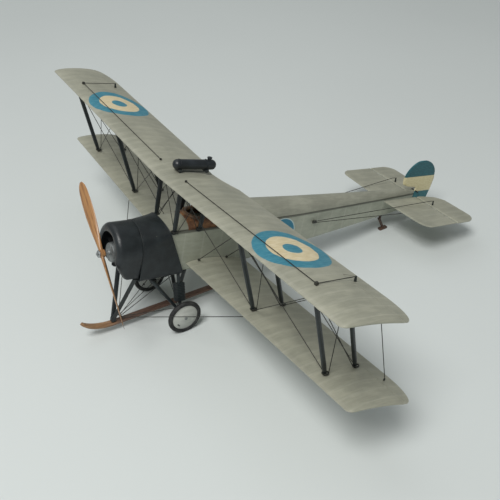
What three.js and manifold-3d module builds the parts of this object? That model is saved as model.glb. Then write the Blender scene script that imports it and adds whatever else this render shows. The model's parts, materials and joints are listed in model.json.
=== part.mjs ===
// A 1:72 display model of a two-bay training biplane with a rotary engine, a central landing skid,
// wing rigging, moving tail and ailerons, turning wheels and a turning propeller.
// The aeroplane is drawn in its flight axes: +X is the pilot's left, +Y is aft, +Z is up, and the
// propeller shaft lies on y.  At the end the whole model is pitched nose-up until the wheels and
// the tail skid stand on one floor, and moved so that its box stands centred on the origin.
// Lengths are written in metres of the full-size aeroplane; SCALE turns them into model millimetres.

import {
  BufferGeometry, Box3, CylinderGeometry, Float32BufferAttribute, Group, LatheGeometry, MathUtils,
  Mesh, MeshStandardMaterial, ShapeUtils, Vector2, Vector3,
} from 'three';
import { mergeVertices } from 'three/addons/utils/BufferGeometryUtils.js';
import Module from 'manifold-3d';

const wasm = await Module();
wasm.setup();

// ---- driving dimensions -------------------------------------------------------------------
const SCALE = 1000 / 72;
const GROUND_ANGLE = MathUtils.degToRad(11.197);
const FLOOR = -1.777;
const GAP = 0.004;
const UP = new Vector3(0, 0, 1);
const AFT = new Vector3(0, 1, 0);
const LEFT = new Vector3(1, 0, 0);

const CHORD = 1.36;
const INCIDENCE = MathUtils.degToRad(4.62);
const CAMBER = 0.045;
const HALF_THICKNESS = 0.043;
const EDGE_THICKNESS = 0.008;
const UPPER = { y: 0.496, z: 1.492, rise: Math.tan(MathUtils.degToRad(2.47)), root: 0.42 };
const LOWER = { y: 1.15, z: -0.275, rise: Math.tan(MathUtils.degToRad(3.35)), root: 0.395 };
const TIP = { half: 5.486, front: 5.35, curl: 0.74, curlDepth: 0.30, nose: 0.12, end: 1.0 };
const CUT_OUT = { half: 0.72, depth: 0.17 };
const HINGE = 1.05;
const AILERON_ROOT = 4.13;
const SPARS = { front: 0.22, rear: 0.87 };
const BAYS = { inner: 2.43, outer: 4.47 };
const STRUT = { long: 0.100, thick: 0.050 };
const END_GAP = 0.014;

const FUSELAGE = [
  { y: 0.42, half: 0.385, floor: -0.42 },
  { y: 2.50, half: 0.385, floor: -0.43 },
  { y: 4.17, half: 0.300, floor: -0.235 },
  { y: 5.78, half: 0.185, floor: -0.085 },
  { y: 6.80, half: 0.105, floor: 0.02 },
  { y: 7.52, half: 0.050, floor: 0.10 },
  { y: 7.585, half: 0.034, floor: 0.10 },
];
const LONGERON = 0.45;
const WALL = 0.07;
const WELL = { front: 1.12, rear: 2.72, floor: -0.30 };

const COWL = { radius: 0.485, middle: 0.09, low: -0.38, lowHalf: 0.435, wall: 0.035 };
const COWL_FRONT = { face: -0.34, seam: 0.135, lip: 0.105 };
const COWL_REAR = { seam: 0.15, half: 0.427, shoulder: 0.44, crown: 0.62, low: -0.47 };
const HUB_Y = -0.445;
const PROPELLER = { radius: 1.485, angle: -0.923, hub: 0.075, depth: 0.10, bore: 0.036 };

const WHEEL = { x: 0.78, y: 1.06, z: -1.24, radius: 0.355, rim: 0.265, width: 0.09 };
const SKID_FOOT = new Vector3(0, -0.08, -1.56);
const AXLE_RADIUS = 0.026;

const TAIL_Z = 0.42;
const STERN_Y = 7.60;
const SURFACE = 0.022;
const WIRE = 0.0072;

// ---- geometry helpers ---------------------------------------------------------------------
const at = (x, y, z) => new Vector3(x, y, z);

function volumeOf(points, faces) {
  let sum = 0;
  for (const [a, b, c] of faces) sum += points[a].dot(points[b].clone().cross(points[c]));
  return sum / 6;
}

// A closed skin through rings that have the same number of points.
function loft(rings, endless = false) {
  const count = rings[0].length;
  const points = rings.flat();
  const faces = [];
  const last = endless ? rings.length : rings.length - 1;
  for (let i = 0; i < last; i += 1) {
    const here = i * count;
    const next = ((i + 1) % rings.length) * count;
    for (let j = 0; j < count; j += 1) {
      const k = (j + 1) % count;
      faces.push([here + j, here + k, next + k], [here + j, next + k, next + j]);
    }
  }
  if (!endless) {
    for (const face of capOf(rings[0])) faces.push([...face].reverse());
    const end = (rings.length - 1) * count;
    for (const face of capOf(rings.at(-1))) faces.push(face.map((index) => index + end));
  }
  return closedGeometry(points, faces);
}

// Triangles that fill one ring, found in the plane in which the ring lies most flatly.
function capOf(ring) {
  const normal = new Vector3();
  ring.forEach((point, i) => {
    const next = ring[(i + 1) % ring.length];
    normal.x += (point.y - next.y) * (point.z + next.z);
    normal.y += (point.z - next.z) * (point.x + next.x);
    normal.z += (point.x - next.x) * (point.y + next.y);
  });
  normal.normalize();
  const across = (Math.abs(normal.z) < 0.9 ? UP : LEFT).clone().cross(normal).normalize();
  const along = normal.clone().cross(across);
  const flat = ring.map((point) => new Vector2(point.dot(across), point.dot(along)));
  return ShapeUtils.triangulateShape(flat, []).map((face) => orient(flat, face));
}

function orient(flat, [a, b, c]) {
  const first = flat[b].clone().sub(flat[a]);
  const second = flat[c].clone().sub(flat[a]);
  return first.cross(second) > 0 ? [a, b, c] : [a, c, b];
}

function closedGeometry(points, faces) {
  const outward = volumeOf(points, faces) > 0 ? faces : faces.map(([a, b, c]) => [a, c, b]);
  const geometry = new BufferGeometry();
  const flat = points.flatMap((point) => [point.x * SCALE, point.y * SCALE, point.z * SCALE]);
  geometry.setAttribute('position', new Float32BufferAttribute(flat, 3));
  geometry.setIndex(outward.flat());
  return geometry;
}

function solid(geometry) {
  const bare = geometry.clone();
  bare.deleteAttribute('normal');
  bare.deleteAttribute('uv');
  const merged = mergeVertices(bare, 1e-4);
  return new wasm.Manifold(new wasm.Mesh({
    numProp: 3,
    vertProperties: new Float32Array(merged.attributes.position.array),
    triVerts: new Uint32Array(merged.index.array),
  }));
}

function shapeOf(manifold) {
  const mesh = manifold.getMesh();
  const geometry = new BufferGeometry();
  geometry.setAttribute('position', new Float32BufferAttribute(mesh.vertProperties, 3));
  geometry.setIndex([...mesh.triVerts]);
  return geometry;
}

const join = (...pieces) => shapeOf(pieces.map(solid).reduce((whole, piece) => whole.add(piece)));
const cut = (body, ...tools) => shapeOf(
  tools.map(solid).reduce((rest, tool) => rest.subtract(tool), solid(body)),
);
const common = (first, second) => shapeOf(solid(first).intersect(solid(second)));

// The ellipse about a point in the plane of two directions.
function ellipse(centre, first, second, a, b, sides) {
  return Array.from({ length: sides }, (_, i) => {
    const turn = (i * 2 * Math.PI) / sides;
    return centre.clone()
      .addScaledVector(first, a * Math.cos(turn))
      .addScaledVector(second, b * Math.sin(turn));
  });
}

// A straight bar whose end faces lie in the plane of the two directions.
function bar(from, to, first, second, a, b, sides = 8) {
  return loft([ellipse(from, first, second, a, b, sides), ellipse(to, first, second, a, b, sides)]);
}

// A round rod with square-cut ends.
function rod(from, to, radius, sides = 8) {
  const along = to.clone().sub(from).normalize();
  const across = (Math.abs(along.z) < 0.9 ? UP : LEFT).clone().cross(along).normalize();
  return bar(from, to, across, along.clone().cross(across), radius, radius, sides);
}

const wire = (from, to) => rod(from, to, WIRE, 6);

function block(low, high) {
  const corners = (z) => [
    at(low.x, low.y, z), at(high.x, low.y, z), at(high.x, high.y, z), at(low.x, high.y, z),
  ];
  return loft([corners(low.z), corners(high.z)]);
}

const cube = (centre, half) => block(centre.clone().subScalar(half), centre.clone().addScalar(half));

// The same piece on the other side of the plane of symmetry.
function mirrored(geometry) {
  const copy = geometry.clone();
  copy.scale(-1, 1, 1);
  const index = copy.index.array;
  for (let i = 0; i < index.length; i += 3) [index[i + 1], index[i + 2]] = [index[i + 2], index[i + 1]];
  return copy;
}

// ---- wings --------------------------------------------------------------------------------
// A place on a wing: x along the span, d back from the straight leading edge, h above the chord.
function onWing(wing, x, d, h) {
  const y = wing.y + d * Math.cos(INCIDENCE) + h * Math.sin(INCIDENCE);
  const z = wing.z + Math.abs(x) * wing.rise - d * Math.sin(INCIDENCE) + h * Math.cos(INCIDENCE);
  return at(x, y, z);
}

const camberAt = (d) => 4 * CAMBER * d * (1 - d / CHORD);
const fullness = (t) => Math.max(2.6 * Math.sqrt(t) * (1 - t), 0);
const skinAt = (d) => Math.max(HALF_THICKNESS * fullness(d / CHORD), EDGE_THICKNESS);
const overWing = (wing, x, d, gap) => onWing(wing, x, d, camberAt(d) + skinAt(d) + gap);
const underWing = (wing, x, d, gap) => onWing(wing, x, d, camberAt(d) - skinAt(d) - gap);

function frontEdge(x) {
  const start = TIP.front - TIP.nose;
  if (x <= start) return 0;
  if (x <= TIP.front) return TIP.nose * (1 - Math.sqrt(1 - ((x - start) / TIP.nose) ** 2));
  return MathUtils.mapLinear(x, TIP.front, TIP.half, TIP.nose, TIP.end);
}

function backEdge(wing, x) {
  const middle = Math.abs(x) / CUT_OUT.half;
  if (wing === UPPER && middle < 1) return CHORD - CUT_OUT.depth * (1 - middle ** 2);
  const curl = (x - (TIP.half - TIP.curl)) / TIP.curl;
  return curl <= 0 ? CHORD : CHORD - TIP.curlDepth * (1 - Math.sqrt(Math.max(1 - curl ** 2, 0)));
}

const STATIONS = [0, 0.03, 0.1, 0.24, 0.45, 0.7, 1];

function wingRing(wing, x) {
  const front = frontEdge(x);
  const length = backEdge(wing, x) - front;
  const size = Math.sqrt(length / CHORD);
  const point = (t, side) => {
    const d = front + t * length;
    const half = Math.max(HALF_THICKNESS * size * fullness(t), EDGE_THICKNESS);
    return onWing(wing, x, d, camberAt(d) + side * half);
  };
  const top = STATIONS.map((t) => point(t, 1));
  const bottom = STATIONS.map((t) => point(t, -1)).reverse();
  return [...top, ...bottom];
}

function panelStations(wing) {
  const inner = wing === UPPER ? [wing.root + GAP, 0.57, CUT_OUT.half] : [wing.root];
  const curl = [0, 0.3, 0.55, 0.75].map((part) => TIP.half - TIP.curl * (1 - part));
  return [...inner, ...curl, 5.23, 5.30, 5.345, 5.40, 5.45, 5.475, TIP.half].sort((a, b) => a - b);
}

const panel = (wing) => loft(panelStations(wing).map((x) => wingRing(wing, x)));
const centreSection = () => loft([-0.42, -0.21, 0, 0.21, 0.42].map((x) => wingRing(UPPER, x)));

// A block of space that follows the wing, used to part the aileron from the panel.
function bay(wing, root, hinge) {
  const ends = [root, TIP.half + 0.2];
  const ring = (x) => [[hinge, -0.2], [CHORD + 0.2, -0.2], [CHORD + 0.2, 0.3], [hinge, 0.3]]
    .map(([d, h]) => onWing(wing, x, d, h));
  return loft(ends.map(ring));
}

const HINGE_GAP = 0.016;
const fixedPanel = (wing) => cut(panel(wing), bay(wing, AILERON_ROOT - HINGE_GAP, HINGE - HINGE_GAP));

const HORN = { x: 4.34, back: 0.03, height: 0.10, half: 0.04 };

const aileron = (wing) => common(panel(wing), bay(wing, AILERON_ROOT, HINGE));

// The upper aileron carries a control horn on its top face, just behind the hinge line.
function hornedAileron() {
  const foot = overWing(UPPER, HORN.x, HINGE + HORN.back, 0);
  return join(aileron(UPPER), hornPlate(foot, HORN.height, HORN.half));
}

// A flat pointed plate standing on a surface, its foot sunk into that surface.
function hornPlate(foot, height, half) {
  const ring = (x) => [
    at(x, foot.y - half * 0.35, foot.z - 0.02),
    at(x, foot.y + half, foot.z - 0.02),
    at(x, foot.y + half * 0.3, foot.z + height),
    at(x, foot.y - half * 0.35, foot.z + height),
  ];
  return loft([ring(foot.x - 0.012), ring(foot.x + 0.012)]);
}

// ---- struts -------------------------------------------------------------------------------
const CHORDWISE = at(0, Math.cos(INCIDENCE), -Math.sin(INCIDENCE));

const strutEnds = (x, d) => [overWing(LOWER, x, d, END_GAP), underWing(UPPER, x, d, END_GAP)];

function interplaneStrut(x, d) {
  const [foot, head] = strutEnds(x, d);
  return bar(foot, head, CHORDWISE, LEFT, STRUT.long / 2, STRUT.thick / 2, 12);
}

const CABANE = { x: 0.378, long: 0.10, thick: 0.044, feet: [0.80, 1.34], tops: [0.31, 0.94] };

function cabaneEnds(index) {
  const foot = at(CABANE.x, CABANE.feet[index], LONGERON + END_GAP);
  return [foot, underWing(UPPER, CABANE.x, CABANE.tops[index], END_GAP)];
}

function cabaneStrut(index) {
  const [foot, head] = cabaneEnds(index);
  return bar(foot, head, CHORDWISE, LEFT, CABANE.long / 2, CABANE.thick / 2, 12);
}

// ---- rigging ------------------------------------------------------------------------------
const COLLAR = { inner: 0.004, wall: 0.017, height: 0.030, sides: 8 };
const BESIDE = 0.0095;

// A fitting with flat sides that goes round a strut near one end. Wires leave from the middle of
// its sides, each a little beside the other so that crossing wires pass without touching.
function collar(end, other, section) {
  const along = other.clone().sub(end).normalize();
  const low = end.clone().addScaledVector(along, 0.010);
  const high = low.clone().addScaledVector(along, COLLAR.height);
  const flat = Math.cos(Math.PI / COLLAR.sides);
  const a = (section.long / 2 + COLLAR.inner) / flat;
  const b = (section.thick / 2 + COLLAR.inner) / flat;
  const ring = (centre, grow) => Array.from({ length: COLLAR.sides }, (_, i) => {
    const turn = ((i + 0.5) * 2 * Math.PI) / COLLAR.sides;
    return centre.clone()
      .addScaledVector(CHORDWISE, (a + grow) * Math.cos(turn))
      .addScaledVector(LEFT, (b + grow) * Math.sin(turn));
  });
  const loops = [ring(low, 0), ring(low, COLLAR.wall), ring(high, COLLAR.wall), ring(high, 0)];
  const stations = loops[0].map((_, i) => loops.map((loop) => loop[i]));
  const middle = low.clone().lerp(high, 0.5);
  const normal = LEFT.clone().cross(CHORDWISE);
  const edge = (target, beside) => {
    const way = target.clone().sub(middle);
    way.addScaledVector(along, -way.dot(normal) / along.dot(normal));
    const u = way.dot(CHORDWISE);
    const v = way.dot(LEFT);
    const [out, over, reach] = Math.abs(u) > Math.abs(v)
      ? [CHORDWISE, LEFT, Math.sign(u) * (a + COLLAR.wall / 2) * flat]
      : [LEFT, CHORDWISE, Math.sign(v) * (b + COLLAR.wall / 2) * flat];
    return middle.clone().addScaledVector(out, reach).addScaledVector(over, beside);
  };
  return { geometry: loft(stations, true), middle, edge };
}

function between(first, second, beside) {
  return wire(first.edge(second.middle, beside), second.edge(first.middle, beside));
}

function bayCollars(x) {
  return Object.values(SPARS).map((d) => {
    const [foot, head] = strutEnds(x, d);
    return { low: collar(foot, head, STRUT), high: collar(head, foot, STRUT) };
  });
}

// Flying, landing and incidence wires of one side.
function wingRigging() {
  const inner = bayCollars(BAYS.inner);
  const outer = bayCollars(BAYS.outer);
  const pieces = [];
  Object.values(SPARS).forEach((d, i) => {
    const flying = overWing(LOWER, LOWER.root + 0.07, d, 0.03);
    const landing = underWing(UPPER, CABANE.x + 0.09, d, 0.04);
    flying.addScaledVector(CHORDWISE, BESIDE);
    landing.addScaledVector(CHORDWISE, -BESIDE);
    pieces.push(wire(flying, inner[i].high.edge(flying, BESIDE)), cube(flying, 0.018));
    pieces.push(wire(landing, inner[i].low.edge(landing, -BESIDE)), cube(landing, 0.018));
    pieces.push(between(inner[i].low, outer[i].high, BESIDE), between(inner[i].high, outer[i].low, -BESIDE));
  });
  for (const [front, rear] of [inner, outer]) {
    pieces.push(between(front.low, rear.high, BESIDE), between(front.high, rear.low, -BESIDE));
    for (const pair of [front, rear]) pieces.push(pair.low.geometry, pair.high.geometry);
  }
  return join(...pieces);
}

// ---- fuselage -----------------------------------------------------------------------------
function tubRing({ y, half, floor }) {
  const soft = Math.min(0.05, half * 0.3);
  return [
    at(-half, y, LONGERON), at(-half, y, floor + soft), at(-half + soft, y, floor),
    at(half - soft, y, floor), at(half, y, floor + soft), at(half, y, LONGERON),
  ];
}

function fuselageShell() {
  const inside = 0.385 - WALL;
  const well = block(at(-inside, WELL.front, WELL.floor), at(inside, WELL.rear, LONGERON + 0.2));
  const engineBay = block(at(-inside, 0.55, WELL.floor), at(inside, 1.04, LONGERON + 0.2));
  const bearing = rod(at(0, 0.3, 0), at(0, 0.6, 0), 0.062, 16);
  const shoulders = block(at(-0.5, 0.3, 0.25), at(0.5, 0.74, 0.6));
  return cut(loft(FUSELAGE.map(tubRing)), well, engineBay, bearing, shoulders);
}

const DECK_HALF = 0.326;

// A curved deck: its crown height runs straight between the two ends.
function deck(front, rear, lining) {
  const ring = ({ y, half, crown }) => {
    const arc = (grow, turn) => at(
      (half - grow) * Math.cos(turn), y, LONGERON + GAP + (crown - LONGERON - grow) * Math.sin(turn),
    );
    const turns = Array.from({ length: 9 }, (_, i) => (i * Math.PI) / 8);
    const outer = turns.map((turn) => arc(0, turn));
    return lining ? [...outer, ...turns.map((turn) => arc(lining, turn)).reverse()] : outer;
  };
  return loft([front, rear].map(ring));
}

const DECK_WALL = 0.04;

function cockpitHole(middle, length, width) {
  const ring = (z) => ellipse(at(0, middle, z), LEFT, AFT, width / 2, length / 2, 20);
  return loft([ring(LONGERON + 0.03), ring(LONGERON + 0.6)]);
}

const scuttleDeck = () => deck(
  { y: 0.84, half: DECK_HALF, crown: 0.575 }, { y: 1.13, half: DECK_HALF, crown: 0.62 }, DECK_WALL,
);
const frontCoaming = () => cut(
  deck({ y: 1.14, half: DECK_HALF, crown: 0.64 }, { y: 1.76, half: DECK_HALF, crown: 0.74 }, 0.05),
  cockpitHole(1.46, 0.52, 0.46),
);
const rearCoaming = () => cut(
  deck({ y: 1.77, half: DECK_HALF, crown: 0.74 }, { y: 2.74, half: DECK_HALF, crown: 0.79 }, 0.05),
  cockpitHole(2.37, 0.58, 0.50),
);

function rearDeck() {
  const stations = [
    { y: 2.75, half: DECK_HALF, crown: 0.79 }, { y: 3.96, half: 0.30, crown: 0.71 },
    { y: 5.53, half: 0.195, crown: 0.65 }, { y: 6.60, half: 0.12, crown: 0.62 },
    { y: 7.30, half: 0.068, crown: 0.57 }, { y: 7.58, half: 0.036, crown: 0.54 },
  ];
  const ring = ({ y, half, crown }) => Array.from({ length: 9 }, (_, i) => {
    const turn = (i * Math.PI) / 8;
    return at(half * Math.cos(turn), y, LONGERON + GAP + (crown - LONGERON) * Math.sin(turn));
  });
  return loft(stations.map(ring));
}

// Two seats on one floor board.
function cockpitSeats() {
  const floor = WELL.floor + GAP;
  const board = block(at(-0.30, WELL.front + 0.06, floor), at(0.30, WELL.rear - 0.06, floor + 0.03));
  const seat = (y) => [
    block(at(-0.19, y, floor + 0.02), at(0.19, y + 0.30, floor + 0.22)),
    block(at(-0.19, y + 0.26, floor + 0.1), at(0.19, y + 0.32, floor + 0.62)),
  ];
  return join(board, ...seat(1.40), ...seat(2.28));
}

// ---- cowling, engine and propeller ----------------------------------------------------------
// Points and inward directions round the horseshoe of the front cowl, from right foot to left foot.
function horseshoe() {
  const side = [COWL.low, -0.30, -0.20, -0.08, 0.02].map((z) => {
    const x = MathUtils.mapLinear(z, COWL.low, COWL.middle, COWL.lowHalf, COWL.radius);
    return { x, z, inward: [-1, 0] };
  });
  const arc = Array.from({ length: 17 }, (_, i) => {
    const turn = (i * Math.PI) / 16;
    const x = COWL.radius * Math.cos(turn);
    return { x, z: COWL.middle + COWL.radius * Math.sin(turn), inward: [-Math.cos(turn), -Math.sin(turn)] };
  });
  const other = side.map(({ x, z }) => ({ x: -x, z, inward: [1, 0] })).reverse();
  return [...side, ...arc, ...other];
}

function cowlFront() {
  const lip = COWL_FRONT.lip;
  const start = COWL_FRONT.face + lip;
  const seam = COWL_FRONT.seam;
  const profile = [[seam, 0], [start, 0]];
  for (const turn of [30, 60, 90, 120]) {
    const angle = MathUtils.degToRad(turn);
    profile.push([start - lip * Math.sin(angle), lip - lip * Math.cos(angle)]);
  }
  const inner = lip - COWL.wall;
  for (const turn of [120, 90, 45]) {
    const angle = MathUtils.degToRad(turn);
    profile.push([start - inner * Math.sin(angle), lip - inner * Math.cos(angle)]);
  }
  profile.push([start, COWL.wall], [seam, COWL.wall]);
  const ring = ({ x, z, inward }) => {
    const fall = MathUtils.clamp((-0.02 - z) / 0.36, 0, 1);
    return profile.map(([y, inset]) => {
      const front = (seam - y) / (seam - COWL_FRONT.face);
      const depth = inset <= COWL.wall ? inset : MathUtils.lerp(inset, COWL.wall + 0.02, 0.7 * fall);
      return at(x + inward[0] * depth, y + 0.20 * fall ** 1.3 * front, z + inward[1] * depth);
    });
  };
  return loft(horseshoe().map(ring));
}

// One closed outline of the rear cowl: flat bottom, rounded corners, straight sides up to the
// shoulder and an arched top.
function cowlLoop({ half, shoulder, crown, low }, grow) {
  const soft = 0.07;
  const points = [];
  const corner = (x, z, from) => {
    for (const step of [0, 0.5, 1]) {
      const turn = from + (step * Math.PI) / 2;
      points.push([x + (soft + grow) * Math.cos(turn), z + (soft + grow) * Math.sin(turn)]);
    }
  };
  corner(-half + soft, low + soft, Math.PI);
  corner(half - soft, low + soft, 1.5 * Math.PI);
  const rise = crown - shoulder + grow;
  const arch = (turn) => [(half + grow) * Math.cos(turn), shoulder + rise * Math.sin(turn)];
  for (let i = 0; i <= 16; i += 1) points.push(arch((i * Math.PI) / 16));
  return points;
}

function cowlRear() {
  const frontShape = {
    half: COWL.radius, shoulder: COWL.middle, crown: COWL.middle + COWL.radius, low: -0.456,
  };
  const seam = (grow) => cowlLoop(frontShape, grow).map(([x, z]) => at(x, COWL_REAR.seam, z));
  const back = (grow) => cowlLoop(COWL_REAR, grow)
    .map(([x, z]) => at(x, 0.66 + 0.42 * (COWL_REAR.crown - z), z));
  const loops = [seam(0), back(0), back(-COWL.wall), seam(-COWL.wall)];
  return loft(loops, true);
}

function engine() {
  const spin = (angle, radius, y) => at(radius * Math.cos(angle), y, radius * Math.sin(angle));
  const cylinders = Array.from({ length: 9 }, (_, i) => {
    const angle = MathUtils.degToRad(90 + i * 40);
    return rod(spin(angle, 0.12, -0.10), spin(angle, 0.415, -0.10), 0.060, 10);
  });
  const crankcase = rod(at(0, -0.19, 0), at(0, -0.01, 0), 0.175, 24);
  const cover = rod(at(0, -0.30, 0), at(0, -0.18, 0), 0.19, 24);
  const shaft = rod(at(0, -0.51, 0), at(0, 0.50, 0), 0.031, 12);
  const plate = rod(at(0, -0.55, 0), at(0, HUB_Y - PROPELLER.depth / 2 - GAP, 0), 0.068, 16);
  return join(crankcase, cover, shaft, plate, ...cylinders);
}

// One blade along +Z, twisted from root to tip; its tip is rounded.
function blade() {
  const sections = [
    [0.02, 0.085, 0.070, 40], [0.12, 0.090, 0.060, 42], [0.28, 0.125, 0.050, 38],
    [0.50, 0.185, 0.042, 31], [0.80, 0.235, 0.034, 27], [1.08, 0.240, 0.026, 25],
    [1.30, 0.215, 0.020, 24], [1.42, 0.160, 0.016, 23], [PROPELLER.radius, 0.060, 0.012, 23],
  ];
  const rings = sections.map(([z, width, depth, pitch]) => {
    const angle = MathUtils.degToRad(pitch);
    const across = at(Math.cos(angle), Math.sin(angle), 0);
    const through = at(-Math.sin(angle), Math.cos(angle), 0);
    return ellipse(at(0, 0, z), across, through, width / 2, depth / 2, 10);
  });
  return loft(rings);
}

function propeller() {
  const hub = rod(at(0, -PROPELLER.depth / 2, 0), at(0, PROPELLER.depth / 2, 0), PROPELLER.hub, 20);
  const bore = rod(at(0, -0.2, 0), at(0, 0.2, 0), PROPELLER.bore, 12);
  const other = blade().rotateY(Math.PI);
  return cut(join(hub, blade(), other), bore).rotateY(PROPELLER.angle).translate(0, HUB_Y * SCALE, 0);
}

// ---- undercarriage --------------------------------------------------------------------------
// A plank through given points, its section facing up.
function plank(points, width, depth) {
  const rings = points.map(([y, z, part], i) => {
    const before = points[Math.max(i - 1, 0)];
    const after = points[Math.min(i + 1, points.length - 1)];
    const along = at(0, after[0] - before[0], after[1] - before[1]).normalize();
    const over = at(0, -along.z, along.y);
    const w = (width * part) / 2;
    const corner = (x, h) => at(x * w, y, z).addScaledVector(over, (h * depth) / 2);
    return [corner(-1, -0.6), corner(-0.6, -1), corner(0.6, -1), corner(1, -0.6),
      corner(1, 0.6), corner(0.6, 1), corner(-0.6, 1), corner(-1, 0.6)];
  });
  return loft(rings);
}

const landingSkid = () => plank([
  [-0.74, -1.50, 0.35], [-0.68, -1.555, 0.85], [-0.55, -1.62, 1], [-0.36, -1.655, 1],
  [-0.10, -1.645, 1], [0.60, -1.515, 1], [2.10, -1.235, 0.9], [2.14, -1.228, 0.4],
], 0.15, 0.062);

function frontSkidStruts() {
  const legs = [-1, 1].map((side) => {
    const head = at(side * 0.36, 0.10, -0.455);
    return bar(SKID_FOOT.clone().add(at(side * 0.01, 0, 0)), head, AFT, LEFT, 0.05, 0.032, 8);
  });
  return join(cube(SKID_FOOT, 0.045), ...legs);
}

function rearSkidStruts() {
  const foot = at(0, 1.30, -1.302);
  const legs = [-1, 1].map((side) => bar(foot, at(side * 0.34, 1.17, -0.50), AFT, LEFT, 0.045, 0.03, 8));
  return join(cube(foot, 0.04), ...legs);
}

const LEG = { x: 0.60, top: 0.37 };

// A spring leg with its cord-wound box, the radius rod and the axle block, on the left side.
function undercarriageLeg() {
  const hub = at(LEG.x, WHEEL.y, WHEEL.z);
  const head = at(LEG.top, 1.02, -0.50);
  const fraction = (t) => hub.clone().lerp(head, t);
  const leg = rod(hub, head, 0.034, 8);
  const wound = bar(fraction(0.30), fraction(0.78), AFT, LEFT, 0.125, 0.085, 8);
  const radiusRod = bar(hub, at(0.36, 0.36, -0.50), AFT, LEFT, 0.042, 0.028, 8);
  const outward = at(0.3, 0, 0);
  const axleHole = rod(hub.clone().sub(outward), hub.clone().add(outward), AXLE_RADIUS + GAP, 12);
  return cut(join(leg, wound, radiusRod, cube(hub, 0.055)), axleHole);
}

const axle = () => rod(at(-0.845, WHEEL.y, WHEEL.z), at(0.845, WHEEL.y, WHEEL.z), AXLE_RADIUS, 12);

// A ring about the wheel axis; one of its 32 flats faces the floor once the model stands.
function turned(profile, segments) {
  const flat = profile.map(([radius, x]) => new Vector2(radius * SCALE, x * SCALE));
  const ring = mergeVertices(stripped(new LatheGeometry([...flat, flat[0]], segments)), 1e-4);
  const half = Math.PI / segments;
  ring.rotateZ(-Math.PI / 2).rotateX(half + GROUND_ANGLE);
  return closedFrom(ring);
}

function stripped(geometry) {
  geometry.deleteAttribute('normal');
  geometry.deleteAttribute('uv');
  return geometry;
}

function closedFrom(geometry) {
  const flat = geometry.attributes.position.array;
  const points = [];
  for (let i = 0; i < flat.length; i += 3) {
    points.push(at(flat[i], flat[i + 1], flat[i + 2]).divideScalar(SCALE));
  }
  const index = geometry.index.array;
  const faces = [];
  for (let i = 0; i < index.length; i += 3) faces.push([index[i], index[i + 1], index[i + 2]]);
  return closedGeometry(points, faces);
}

function tyre() {
  const out = WHEEL.radius / Math.cos(Math.PI / 32);
  const half = WHEEL.width / 2;
  return turned([
    [WHEEL.rim, -0.6 * half], [WHEEL.rim + 0.035, -half], [out - 0.03, -0.85 * half], [out, -0.45 * half],
    [out, 0.45 * half], [out - 0.03, 0.85 * half], [WHEEL.rim + 0.035, half], [WHEEL.rim, 0.6 * half],
  ], 32);
}

function wheelDisc() {
  const edge = WHEEL.rim - GAP;
  const bore = AXLE_RADIUS + GAP;
  return turned([
    [bore, -0.055], [0.06, -0.055], [edge, -0.025], [edge, 0.025], [0.06, 0.055], [bore, 0.055],
  ], 32);
}

// Wires from one eye bar above the skid foot to the axle, the fuselage and the lower wings.
function undercarriageRigging() {
  const eye = at(0, 0.06, -1.50);
  const half = at(0.075, 0.018, 0.018);
  const pieces = [block(eye.clone().sub(half), eye.clone().add(half))];
  for (const side of [-1, 1]) {
    const start = (x) => eye.clone().add(at(side * x, 0, 0));
    const hub = at(side * (LEG.x - 0.085), WHEEL.y - 0.01, WHEEL.z + 0.05);
    const wingEye = underWing(LOWER, side * BAYS.inner, 0.10, 0.028);
    pieces.push(wire(start(0.038), hub), cube(hub, 0.020));
    pieces.push(wire(start(0.014), at(side * 0.27, 1.05, -0.49)));
    pieces.push(wire(hub, at(-side * 0.30, 1.02 + side * 0.012, -0.49)));
    pieces.push(wire(start(0.062), wingEye), cube(wingEye, 0.018));
  }
  return join(...pieces);
}

// ---- tail -----------------------------------------------------------------------------------
// A flat surface of the given outline with bevelled edges.
function surface(outline, half, lift) {
  const middle = outline.reduce((sum, point) => sum.add(new Vector2(...point)), new Vector2())
    .divideScalar(outline.length);
  const ring = (h, inset) => outline.map(([a, b]) => {
    const flat = new Vector2(a, b);
    const inward = middle.clone().sub(flat).normalize();
    return lift(a + inward.x * inset, b + inward.y * inset, h);
  });
  return loft([ring(-half, 0.02), ring(-half * 0.4, 0), ring(half * 0.4, 0), ring(half, 0.02)]);
}

const level = (x, y, h) => at(x, y, TAIL_Z + h);
const upright = (y, z, h) => at(h, y, z);

function arcPoints(cx, cy, rx, ry, from, to, steps) {
  return Array.from({ length: steps + 1 }, (_, i) => {
    const turn = MathUtils.degToRad(MathUtils.lerp(from, to, i / steps));
    return [cx + rx * Math.cos(turn), cy + ry * Math.sin(turn)];
  });
}

const TAIL_HINGE = 7.56;
const TAIL_HORN = { x: 0.66, reach: 0.14 };

const tailplaneHalf = () => surface([
  [0.17, 6.47], ...arcPoints(1.22, 6.77, 0.30, 0.25, -90, 0, 5),
  [1.53, TAIL_HINGE - 0.012], [0.17, TAIL_HINGE - 0.012],
], SURFACE, level);

function elevatorHalf() {
  const plate = surface([
    [0.17, TAIL_HINGE + 0.012], [1.53, TAIL_HINGE + 0.012], [1.54, 7.88],
    ...arcPoints(1.26, 7.92, 0.27, 0.34, 0, 90, 4),
    [0.52, 8.24], [0.33, 8.10], [0.24, 7.86],
  ], SURFACE, level);
  return join(plate, twoWayHorn(at(TAIL_HORN.x, TAIL_HINGE + 0.05, TAIL_Z), TAIL_HORN.reach));
}

// A horn that stands out on both faces of a surface, for the pair of cables.
function twoWayHorn(middle, reach) {
  const ring = (x) => [
    at(x, middle.y + 0.045, middle.z), at(x, middle.y + 0.015, middle.z + reach),
    at(x, middle.y - 0.015, middle.z + reach), at(x, middle.y - 0.015, middle.z - reach),
    at(x, middle.y + 0.015, middle.z - reach),
  ];
  return loft([ring(middle.x - 0.012), ring(middle.x + 0.012)]);
}

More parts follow.
